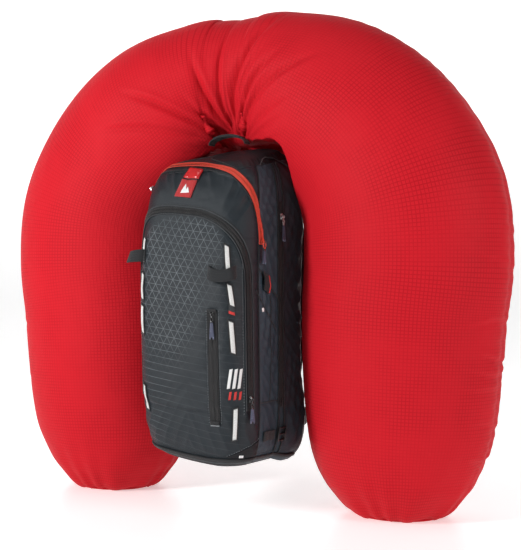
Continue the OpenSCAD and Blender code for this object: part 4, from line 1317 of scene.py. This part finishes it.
def make_sliders():
    finishes = {"gloss": (GLOSS_BLACK, "zip_black"), "steel": (STEEL, "steel"),
                "orange": (ORANGE_PLASTIC, "zip_orange")}
    for stem, (body, at, look, length) in SLIDERS.items():
        axes = pack_place(*at)
        finish, slot = finishes[look]
        piece(f"{stem}_slider_body", placed(slider_part(), *axes), finish, f"{body}_slider",
              [f"{stem}_slider"])
        eye, grip = pull_parts(length)
        metal_look = STEEL if look == "steel" else GLOSS_BLACK
        piece(f"{stem}_pull_tab", placed(eye, *axes), metal_look, f"{body}_pull",
              [f"{stem}_pull"])
        piece(f"{stem}_pull_grip", placed(grip, *axes), LAVENDER, f"{body}_pull")


# Soft pads ---------------------------------------------------------------------------------------
def remeshed(obj, size):
    mod = obj.modifiers.new("remesh", "REMESH")
    mod.mode = "VOXEL"
    mod.voxel_size = size
    mod.use_smooth_shade = True
    bake(obj)


def bake(obj):
    deps = bpy.context.evaluated_depsgraph_get()
    mesh = bpy.data.meshes.new_from_object(obj.evaluated_get(deps))
    obj.modifiers.clear()
    obj.data = mesh


CLOTH = {"quality": 5, "mass": 0.3, "tension_stiffness": 12, "compression_stiffness": 12,
         "shear_stiffness": 6, "bending_stiffness": 0.6, "use_pressure": True}
PUFF_FRAMES = 20


def puff(obj, held, pressure, cap):
    """Blows a closed cloth up from inside and keeps the result, with no move above cap.

    held(co) picks the vertices that stay where they are.
    """
    co = np.zeros(len(obj.data.vertices) * 3)
    obj.data.vertices.foreach_get("co", co)
    co = co.reshape(-1, 3)
    group = obj.vertex_groups.new(name="held")
    group.add([int(i) for i in np.flatnonzero(held(co))], 1.0, "ADD")
    cloth = obj.modifiers.new("cloth", "CLOTH")
    settings = cloth.settings
    for option, value in CLOTH.items():
        setattr(settings, option, value)
    settings.uniform_pressure_force = pressure
    settings.effector_weights.gravity = 0
    settings.vertex_group_mass = "held"
    cloth.point_cache.frame_start = 1
    cloth.point_cache.frame_end = PUFF_FRAMES
    scene = bpy.context.scene
    for frame_number in range(1, PUFF_FRAMES + 1):
        scene.frame_set(frame_number)
    deps = bpy.context.evaluated_depsgraph_get()
    blown = np.zeros(len(co) * 3)
    obj.evaluated_get(deps).data.vertices.foreach_get("co", blown)
    move = blown.reshape(-1, 3) - co
    size = np.linalg.norm(move, axis=1, keepdims=True)
    move *= np.minimum(1, cap / np.maximum(size, TINY))
    obj.modifiers.clear()
    obj.vertex_groups.clear()
    obj.data.vertices.foreach_set("co", (co + move).ravel())
    obj.data.update()
    scene.frame_set(1)


def soften(obj):
    mod = obj.modifiers.new("smooth", "SMOOTH")
    mod.factor = 0.5
    mod.iterations = 4
    sub = obj.modifiers.new("fine", "SUBSURF")
    sub.levels = sub.render_levels = 1


def pad(name, part, material, body, replaces, held, voxel=0.005, pressure=4.0, cap=0.005):
    obj = new_object(name, *part)
    fix_normals(obj)
    remeshed(obj, voxel)
    puff(obj, held, pressure, cap)
    soften(obj)
    obj.data.materials.clear()
    obj.data.polygons.foreach_set("use_smooth", [True] * len(obj.data.polygons))
    fitted(obj, material, body, replaces)


def plate_part(width, height, thick, radius, y0, z0):
    """An upright rounded plate between y0 and y0 + thick, centred on z0."""
    ring = np.array(rounded(width / 2 - radius, height / 2 - radius, radius, 8))
    n = len(ring)
    layers = [np.stack([ring[:, 0], np.full(n, y), z0 + ring[:, 1]], 1) for y in (y0, y0 + thick)]
    faces = [(i, (i + 1) % n, (i + 1) % n + n, i + n) for i in range(n)]
    faces += [tuple(range(n - 1, -1, -1)), tuple(range(n, 2 * n))]
    verts = np.concatenate(layers)
    return verts, faces, verts[:, [0, 2]]


STRAP_POINTS = np.array([
    (46, 42, 512), (50, 43, 540), (56, 58, 560), (62, 84, 545), (68, 98, 500), (74, 102, 450),
    (82, 98, 400), (92, 84, 350), (100, 70, 318),
]) * MM
WING_POINTS = np.array([
    (98, 34, 158), (101, 48, 159), (101, 66, 160), (93, 88, 162), (78, 106, 164), (56, 118, 166),
]) * MM
STRAP_W = 56 * MM
STRAP_T = 11 * MM
FOAM_Y = BACK_Y + 0.6 * MM
FOAM_T = 14 * MM


def mirrored(part, k):
    v, f, t = part
    return v * np.array([k, 1, 1]), f, t


def strap_frames():
    path = catmull(STRAP_POINTS, 8)
    t = unit(np.gradient(path, axis=0))
    out = -np.stack([0 * t[:, 0], t[:, 2], -t[:, 1]], 1)
    return path, out


def near_line(co, line, reach):
    """True for the points within reach of a line of points."""
    best = np.full(len(co), FAR)
    for p in line:
        best = np.minimum(best, np.linalg.norm(co - p, axis=1))
    return best < reach


def make_harness():
    path, out = strap_frames()
    side, _, o = frames_along(path, out)
    for name, k in SIDES:
        flip = np.array([k, 1, 1])
        edges = np.concatenate([(path + side * e * STRAP_W / 2 + o * STRAP_T / 2) * flip
                                for e in (-1, 1)])
        foam = mirrored(swept(path, out, band_profile(STRAP_W, STRAP_T, 3 * MM)), k)
        pad(f"strap_pad_{name}", foam, GREY_FOAM, "pack", [f"shoulder_strap_{name}"],
            lambda co, e=edges: near_line(co, e, 6.5 * MM), 0.0045)
        cover = strap(path + o * (STRAP_T + 3.6 * MM), out, 25, 1.8)
        bindings = [strap(path + side * e * (STRAP_W / 2 + 0.6 * MM) + o * (STRAP_T / 2 - 1.6 * MM),
                          out, 2.4, 4.4) for e in (-1, 1)]
        piece(f"strap_cover_{name}", mirrored(cover, k), WEBBING, "pack")
        piece(f"strap_binding_{name}", mirrored(merge(bindings), k), ELASTIC, "pack")
    back = plate_part(196 * MM, 386 * MM, FOAM_T, 24 * MM, FOAM_Y, 0.322)
    pad("back_pad", back, FOAM, "pack", ["back_panel"],
        lambda co: (np.abs(np.abs(co[:, 0]) - 0.032) < 3.5 * MM) | (co[:, 1] < FOAM_Y + 3 * MM)
        | (np.abs(co[:, 2] - 0.385) < 3.0 * MM) | (np.abs(co[:, 2] - 0.250) < 3.0 * MM)
        | (np.abs(co[:, 0]) > 0.094), 0.0055, 5.0, 0.006)
    lumbar = plate_part(150 * MM, 90 * MM, 18 * MM, 20 * MM, FOAM_Y + FOAM_T + 0.4 * MM, 0.160)
    pad("lumbar_cushion", lumbar, GREY_FOAM, "pack", ["lumbar_pad"],
        lambda co: (co[:, 1] < FOAM_Y + FOAM_T + 4 * MM) | (np.abs(co[:, 0]) < 2.6 * MM), 0.0045,
        5.0, 0.004)
    make_wings()
    make_webbing()


def wing_sizes(count):
    """Half height and thickness of a wing in mm, from its root to its tip."""
    share = np.linspace(0, 1, count)[:, None]
    return 32 - 12 * share, 9 - 3 * share


def wing_part():
    path = catmull(WING_POINTS, 8)
    t = unit(np.gradient(path, axis=0))
    o = unit(np.stack([t[:, 1], -t[:, 0], 0 * t[:, 0]], 1))
    h, thick = (v * MM for v in wing_sizes(len(path)))
    up = np.array([0, 0, 1.0])
    bend = np.radians(np.linspace(0, 360, 28, endpoint=False))
    c, s = np.cos(bend), np.sin(bend)
    across = np.sign(s) * np.abs(s) ** 0.45
    deep = np.sign(c) * np.abs(c) ** 0.6
    verts = (path[:, None] + up * (h * across[None])[..., None]
             + o[:, None] * (thick * (0.5 + 0.5 * deep[None]))[..., None])
    n = len(bend)
    faces = grid_faces(len(path), n, True)
    faces += [tuple(range(n - 1, -1, -1)), tuple((len(path) - 1) * n + i for i in range(n))]
    return verts.reshape(-1, 3), faces, verts.reshape(-1, 3)[:, :2], path, o


def make_wings():
    verts, faces, uv, path, o = wing_part()
    h, thick = wing_sizes(len(path))
    up = np.array([0, 0, 1.0])
    for name, k in SIDES:
        flip = np.array([k, 1, 1])
        rims = np.concatenate([(path + up * e * h * MM + o * 4 * MM) * flip for e in (-1, 1)])
        pad(f"wing_pad_{name}", (verts * flip, faces, uv), FOAM, f"wing_{name}",
            [f"hip_wing_{name}"], lambda co, e=rims: near_line(co, e, 6 * MM), 0.0045, 4.0, 0.004)
        line = path + o * thick * MM + o * 3.4 * MM
        band = strap(line, o, 25, 1.6)
        piece(f"wing_band_{name}", mirrored(band, k), WEBBING, f"wing_{name}")


def ladder(width, bars, rail, rail_x, lift):
    """A ladder lock, in mm: three bars at these heights and two rails of this length and depth."""
    parts = [block(mm(width, 3.4, 3.6), mm(0, y, lift), 0.3) for y in bars]
    parts += [block(mm(3.2, *rail), mm(e * rail_x, bars[1], lift), 0.3) for e in (-1, 1)]
    return merge(parts)


def make_webbing():
    lower = catmull(np.array([(100.5, 67, 314), (104, 50, 270), (108, 30, 232), (110, 15, 206)])
                    * MM, 8)
    s, z = S_REAR - 0.008, 0.586
    lifter_end = pack_shell(s, z).reshape(3) + pack_normal(s, z).reshape(3) * 5 * MM
    start = np.array([70, 80, 568]) * MM
    lifter = catmull([start, (start + lifter_end) / 2 - [0, 0, 2 * MM], lifter_end], 8)
    parts = []
    for k in (1, -1):
        parts.append(mirrored(strap(lower, [[0, 1, 0.3]] * len(lower), 20, 1.6), k))
        parts.append(mirrored(strap(lifter, [[0, 0.2, 1]] * len(lifter), 15, 1.6), k))
    piece("harness_webbing", merge(parts), WEBBING, "pack", ["strap_webbing"])
    locks = []
    for k in (1, -1):
        at = lower[4] * np.array([k, 1, 1])
        t = unit((lower[6] - lower[2]) * np.array([k, 1, 1]))
        x = unit(np.cross(t, [0, 1, 0.3]))
        o = np.cross(x, t)
        locks.append(placed(ladder(26, (-11, -2, 7), (22, 3.8), 11.6, 1.6), at, x, t, o))
    piece("harness_locks", merge(locks), BLACK_PLASTIC, "pack")
    straps, ladders = [], []
    for k in (1, -1):
        route = [(k * (S_CORNER + 0.012 + 0.040 * i / 8), 0.150) for i in range(9)]
        p, n = on_route(route, 1.8 * MM, smooth_steps=1)
        straps.append(strap(p, n, 18, 1.6))
        at, x, up, out = pack_place(k * S_ZIP, 0.150, 4.2 * MM)
        ladders.append(placed(ladder(24, (-11.3, 0, 11.3), (26, 4), 10.6, 1.8), at, x, up, out))
    piece("low_straps", merge(straps), WEBBING, "pack", ["compression_straps"])
    piece("low_ladders", merge(ladders), BLACK_PLASTIC, "pack")
    tabs = []
    for k in (1, -1):
        line = catmull(np.array([(70, 22, 566), (70, 24, 610), (70, 27, 652)]) * MM, 8)
        tabs.append(mirrored(strap(line, [[0, 1, 0]] * len(line), 24, 1.6), k))
    piece("anchor_webbing", merge(tabs), WEBBING, "pack", ["airbag_anchor_tabs"])


# Hardware on the harness -------------------------------------------------------------------------
def turned(part, origin, rotation):
    """Carries a part by Euler angles in degrees (x, then y, then z) and moves it to origin."""
    about_x, about_y, about_z = (
        Matrix.Rotation(math.radians(angle), 3, axis) for angle, axis in zip(rotation, "XYZ"))
    m = np.array(about_z @ about_y @ about_x)
    v, f, t = part
    return v @ m.T + np.asarray(origin), f, t


def tube_part(a, b, r, sides=20):
    a, b = np.asarray(a, float), np.asarray(b, float)
    d = b - a
    hint = (0, 0, 1) if abs(d[2]) < 0.9 * np.linalg.norm(d) else (0, 1, 0)
    return swept([a, (a + b) / 2, b], [hint] * 3, round_profile(r, sides))


def lathe(profile, sides=40):
    """A turned part round Z from (radius, height) pairs."""
    a = np.linspace(0, 2 * math.pi, sides, endpoint=False)
    verts = np.array([[(r * math.cos(t), r * math.sin(t), h) for t in a] for r, h in profile])
    faces = grid_faces(len(profile), sides, True)
    faces += [tuple(range(sides - 1, -1, -1)),
              tuple((len(profile) - 1) * sides + i for i in range(sides))]
    verts = verts.reshape(-1, 3)
    return verts, faces, verts[:, :2]


def make_sternum():
    lean = (3, 0, 0)
    x0, y0, z0 = 0.060, 0.122, 0.452
    rails = []
    for k in (-1, 1):
        at = (k * x0, y0, z0)
        rails.append(turned(tube_part((0, 0, -0.042), (0, 0, 0.042), 2 * MM), at, lean))
        for e in (-1, 1):
            rails.append(turned(block(mm(10, 10, 4.6), mm(0, -2.5, e * 44), 0.3), at, lean))
            rails.append(turned(block(mm(16, 2.6, 10), mm(0, -7.4, e * 45), 0.3), at, lean))
    piece("sternum_rail_set", merge(rails), BLACK_PLASTIC, "pack",
          ["sternum_rails"])
    runners, band = [], []
    for k in (-1, 1):
        at = (k * x0, y0, z0)
        runners.append(turned(block(mm(12, 9, 18), (0, 0.5 * MM, 0), 0.25), at, lean))
        runners.append(turned(block(mm(3, 3, 20), mm(-k * 5, 4.6, 0), 0.3), at, lean))
        path = np.array([(k * x, 1.6 * MM, 0) for x in np.linspace(0.0155, x0 - 5.4 * MM, 12)])
        part = strap(path, [(0, 1, 0)] * 12, 16, 1.8)
        band.append(turned(part, (0, y0, z0), lean))
    piece("sternum_runners", merge(runners), BLACK_PLASTIC, "sternum",
          ["sternum_strap"])
    piece("sternum_band", merge(band), WEBBING, "sternum")
    body = [plate_bevel(30 * MM, 20 * MM, 8 * MM, 4 * MM)]
    body += [block(mm(8, 12, 2.2), mm(k * 6, 0, 4.4), 0.4) for k in (-1, 1)]
    body += [block(mm(2, 21, 7), (k * 12 * MM, 0, 0), 0.3) for k in (-1, 1)]
    whistle = turned(tube_part((-6 * MM, 0, 0), (6 * MM, 0, 0), 2.4 * MM), mm(0, -7.5, 4.6),
                     (0, 0, 0))
    turned_body = turned(merge(body + [whistle]), (0, y0 + 1.8 * MM, z0), (93, 0, 0))
    piece("sternum_clip", turned_body, GREY_PLASTIC, "sternum", ["sternum_buckle"])


def plate_bevel(width, height, thick, radius):
    """A rounded plate in the XY plane with softened rims, centred on the origin."""
    rim = min(1.2 * MM, thick * 0.3)
    layers = []
    for inset, z in ((rim, -thick / 2), (0, -thick / 2 + rim), (0, thick / 2 - rim),
                     (rim, thick / 2)):
        ring = rounded(width / 2 - radius, height / 2 - radius, radius - inset, 6)
        layers.append([(x, y, z) for x, y in ring])
    n = len(layers[0])
    verts = np.array(layers).reshape(-1, 3)
    faces = grid_faces(4, n, True) + [tuple(range(n - 1, -1, -1)),
                                      tuple(3 * n + i for i in range(n))]
    return verts, faces, verts[:, :2]


def make_hip_buckle():
    at, turn = np.array([55.2, 121.8, 166]) * MM, (0, 0, 151.4)
    male = [block(mm(10, 6, 28), (5 * MM, 0, 0), 0.25)]
    male += [block(mm(18, 4, 3.2), mm(18, 0, z), 0.3) for z in (-7.5, 0, 7.5)]
    male += [block(mm(4, 4.4, 6), mm(24, 0, z), 0.3) for z in (-8.5, 8.5)]
    male += [block(mm(3, 7.4, 30), (1.6 * MM, 0, 0), 0.3)]
    piece("hip_clip_right", turned(merge(male), at, turn), BLACK_PLASTIC, "wing_right",
          ["hip_buckle_male"])
    walls = [block(mm(30, 2.6, 32), mm(15, y, 0), 0.35) for y in (-3.9, 3.9)]
    walls += [block(mm(30, 10, 4), mm(15, 0, z), 0.3) for z in (-14, 14)]
    walls += [block(mm(8, 10, 32), (4 * MM, 0, 0), 0.25)]
    walls += [block(mm(10, 1.8, 14), mm(18, y, 0), 0.4) for y in (-5.4, 5.4)]
    piece("hip_clip_left", mirrored(turned(merge(walls), at, turn), -1), BLACK_PLASTIC, "wing_left",
          ["hip_buckle_female"])


# The face of the lumbar pad, and the hinge side of the carabiner
LUMBAR_FRONT = FOAM_Y + FOAM_T + 19.4 * MM
CARABINER_Z = 0.150
GATE_X = 8.6 * MM


def make_carabiner():
    y, z = LUMBAR_FRONT + 3.5 * MM, CARABINER_Z
    loop = [(px, y, z + pz) for px, pz in rounded(*mm(0.6, 16.6, 10.4), 8)]
    # the gate closes the gap on the right
    body = [p for p in loop if not (p[0] > 9 * MM and abs(p[2] - z) < 15 * MM)]
    path = catmull(body, 4)
    rod = swept(path, [(0, 1, 0)] * len(path), round_profile(3.4 * MM, 14))
    spine = block(mm(5.2, 6.4, 30), (-10.6 * MM, y, z), 0.35)
    piece("carabiner_rod", merge([rod, spine]), ALUMINIUM, "pack", ["carabiner_body"])
    hinge = z - 17 * MM
    gate = tube_part((GATE_X, y, hinge), (GATE_X, y, z + 14.6 * MM), 2.4 * MM, 14)
    knuckle = tube_part((GATE_X, y - 2.6 * MM, hinge), (GATE_X, y + 2.6 * MM, hinge), 3.0 * MM, 16)
    sleeve = tube_part((GATE_X, y, z - 6 * MM), (GATE_X, y, z + 8 * MM), 3.1 * MM, 14)
    piece("carabiner_gate_arm", merge([gate, knuckle, sleeve]), DARK_METAL, "gate",
          ["carabiner_gate"])
    line = [(0, LUMBAR_FRONT + 3.6 * MM, z + h * MM) for h in np.linspace(26, 61, 12)]
    piece("leg_webbing", strap(line, [(0, 1, 0)] * 12, 16, 2.0), WEBBING, "pack",
          ["leg_strap"])


def make_trigger():
    at, turn = np.array([-83, 120, 392]) * MM, (-8, -9, 0)
    cup = lathe([mm(7.2, 0), mm(9, 0.8), mm(9, 24), mm(8.2, 27), mm(5.4, 30), mm(2.8, 31)])
    ribs = [lathe([mm(9.0, h), mm(9.6, h + 0.6), mm(9.6, h + 1.6), mm(9.0, h + 2.2)])
            for h in (3, 8, 13, 18)]
    sleeve = block(mm(24, 3, 26), mm(0, -9.4, 13), 0.3)
    piece("trigger_cup", turned(merge([cup, *ribs, sleeve]), at, turn), BLACK_PLASTIC, "pack",
          ["trigger_holster"])
    stem = lathe([mm(5.6, -15), mm(6.2, -14), mm(6.2, 20), mm(4.6, 22)])
    grip_path = [(x, 0, -30 * MM + z) for x, z in rounded(*mm(5, 5.6, 6), 6)]
    grip_path.append(grip_path[0])
    profile = [(4.8 * MM * math.cos(a), -4.4 * MM * math.sin(a))
               for a in np.linspace(0, 2 * math.pi, 14, endpoint=False)]
    grip = swept(grip_path, [(0, 1, 0)] * len(grip_path), profile)
    collar = lathe([mm(5, -21), mm(8.4, -20), mm(8.4, -15.6), mm(6, -14)])
    piece("trigger_grip", turned(merge([stem, grip, collar]), at, turn), RED_PLASTIC, "trigger",
          ["trigger_handle"])


def dress_cad_nodes():
    """The finish of the CAD nodes that keep their own shape."""
    looks = {"airbag_necks": AIRBAG_NECK, "frame_sheet": WHITE_PLASTIC, "frame_stays": ALUMINIUM,
             "gas_cylinder": STEEL, "percussion_head": ALUMINIUM, "firing_lever": DARK_METAL,
             "lever_pin": STEEL, "firing_pin": STEEL, "gas_hose": RUBBER, "ejectors": BLACK_PLASTIC,
             "flap_right": FLAP_RUBBER, "flap_left": FLAP_RUBBER, "trigger_cable": RUBBER}
    for node, look in looks.items():
        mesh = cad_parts[node].data
        mesh.materials.clear()
        mesh.materials.append(look)


# Details that only the looks carry ---------------------------------------------------------------
def make_details():
    # a loop of webbing with a red edge beside the corner, and the small white tab on the wing patch
    loop = laid(S_CORNER + 0.020, 0.408, 0.440, 0.015, 2.4 * MM, 2.2 * MM, -0.5, 3 * MM)
    piece("side_loop", loop, WEBBING, "pack")
    edge = laid(S_CORNER + 0.029, 0.405, 0.436, 0.002, 3.0 * MM, 2.4 * MM, -0.5, 3 * MM)
    piece("side_loop_edge", edge, RED_PRINT, "pack")
    piece("side_tab", laid(S_CORNER + 0.010, 0.372, 0.379, 0.005, 1.6 * MM, 1.0 * MM), WHITE_PRINT,
          "pack")
    for name, k in SIDES:
        slant = [(k * (S_CORNER + a), PATCH_TOP - a * PATCH_SLOPE)
                 for a in np.linspace(0.002, 0.060, 14)]
        across = [(k * (S_CORNER + a), PATCH_FOOT) for a in np.linspace(0.002, 0.062, 14)]
        parts = [stitch_part([(s, z - 0.004) for s, z in line], 0.8 * MM)
                 for line in (slant, across)]
        piece(f"patch_stitching_{name}", merge(parts), THREAD_DARK, "pack")
        lower = [(k * (S_CORNER + a), 0.400 - a * 1.15) for a in np.linspace(-0.010, 0.052, 14)]
        cords = [cord_part(line, 0.6 * MM, 1.1 * MM) for line in (slant, across, lower)]
        cords.append(cord_part([(k * (S_CORNER + 0.036), z) for z in np.linspace(0.212, 0.400, 16)],
                               0.6 * MM, 1.0 * MM))
        piece(f"side_seams_{name}", merge(cords), DARK_CORD, "pack")
    garage = [laid(SMALL_S, SMALL_TOP - 0.001, SMALL_TOP + 0.004, 0.017, 2.2 * MM, 2.4 * MM),
              laid(SMALL_S, SMALL_LOW - 0.003, SMALL_LOW + 0.003, 0.017, 2.2 * MM, 2.0 * MM)]
    piece("small_zip_garages", merge(garage), WEBBING, "pack")
    tack = laid(SMALL_S, SMALL_LOW - 0.0060, SMALL_LOW - 0.0042, 0.017, 1.2 * MM, 1.2 * MM)
    piece("small_zip_tacks", tack, THREAD, "pack")
    # the loop of cord on the orange zip's right end
    axes = pack_place(*SLIDERS["top_zip"][1])
    loop_pull = ring_part(3.4 * MM, 1.0 * MM, (0, -6.0 * MM, BAR), 2, 1.7)
    piece("top_pull_loop", placed(loop_pull, *axes), ORANGE_PLASTIC, "top_pull")
    # second slider, parked at the left end of the orange zip
    axes = pack_place(-0.1325, 0.594, 3.6 * MM)
    piece("top_parked_slider", placed(slider_part(), *axes), STEEL, "pack")


# Stage -------------------------------------------------------------------------------------------
WORLD_STRENGTH = 0.15
FLOOR_GLOW = 0.42
LIGHTS = [
    # name, azimuth in degrees from -Y towards +X, height, distance, size, watts
    ("key", -30, 1.3, 2.4, 0.5, 51),
    ("fill", 78, 1.0, 2.4, 0.8, 21),
    ("top", 10, 3.0, 0.8, 1.2, 8),
    ("backdrop_left", 165, 1.6, 1.3, 1.6, 22),
    ("backdrop_right", -120, 1.6, 1.3, 1.6, 22),
]


def make_stage():
    floor_shader = Shader("pale_floor", (0.93, 0.93, 0.93), 0.32)
    tone = floor_shader.mix(floor_shader.noise(1.2, 3), (0.90, 0.90, 0.90), (0.95, 0.95, 0.95))
    floor_shader.finish(tone, floor_shader.vary(0.28, floor_shader.noise(3, 4), 0.1))
    floor_shader.bsdf.inputs["Emission Color"].default_value = (1, 1, 1, 1)
    floor_shader.bsdf.inputs["Emission Strength"].default_value = FLOOR_GLOW
    reach, depth, rise, curve = 6.0, 3.2, 4.5, 1.2
    rows = [(-4.0, 0.0), (0.6, 0.0), (depth - curve, 0.0)]
    rows += [(depth - curve + curve * math.sin(a), curve * (1 - math.cos(a)))
             for a in np.radians(np.arange(10, 91, 10))]
    rows.append((depth, rise))
    verts = [(x, y, z) for y, z in rows for x in (-reach, reach)]
    turn = Matrix.Rotation(VIEW_AZIMUTH, 3, "Z")
    verts = [tuple(turn @ Vector(v)) for v in verts]
    floor = new_object("floor", verts, grid_faces(len(rows), 2, False))
    floor.data.materials.append(floor_shader.material)
    world = bpy.data.worlds.new("soft_white")
    bpy.context.scene.world = world
    world.use_nodes = True
    background = world.node_tree.nodes["Background"]
    background.inputs["Color"].default_value = (1, 1, 1, 1)
    background.inputs["Strength"].default_value = WORLD_STRENGTH
    for name, azimuth, height, distance, size, power in LIGHTS:
        data = bpy.data.lights.new(name, "AREA")
        data.shape = "SQUARE"
        data.size = size
        data.energy = power
        light = bpy.data.objects.new(name, data)
        bpy.context.scene.collection.objects.link(light)
        a = math.radians(azimuth)
        light.location = (distance * math.sin(a), -distance * math.cos(a), height)
        target = Vector((0, 0, 0.45)) if not name.startswith("backdrop") else light.location * 2.2
        aim = target - light.location
        light.rotation_euler = aim.to_track_quat("-Z", "Y").to_euler()


make_airbag()
make_panels()
make_trims()
make_strips()
make_badge()
make_loops()
make_haul()
make_sliders()
make_harness()
make_sternum()
make_hip_buckle()
make_carabiner()
make_trigger()
make_details()
dress_cad_nodes()
make_stage()
make_camera()
bpy.context.scene.view_settings.view_transform = "Standard"
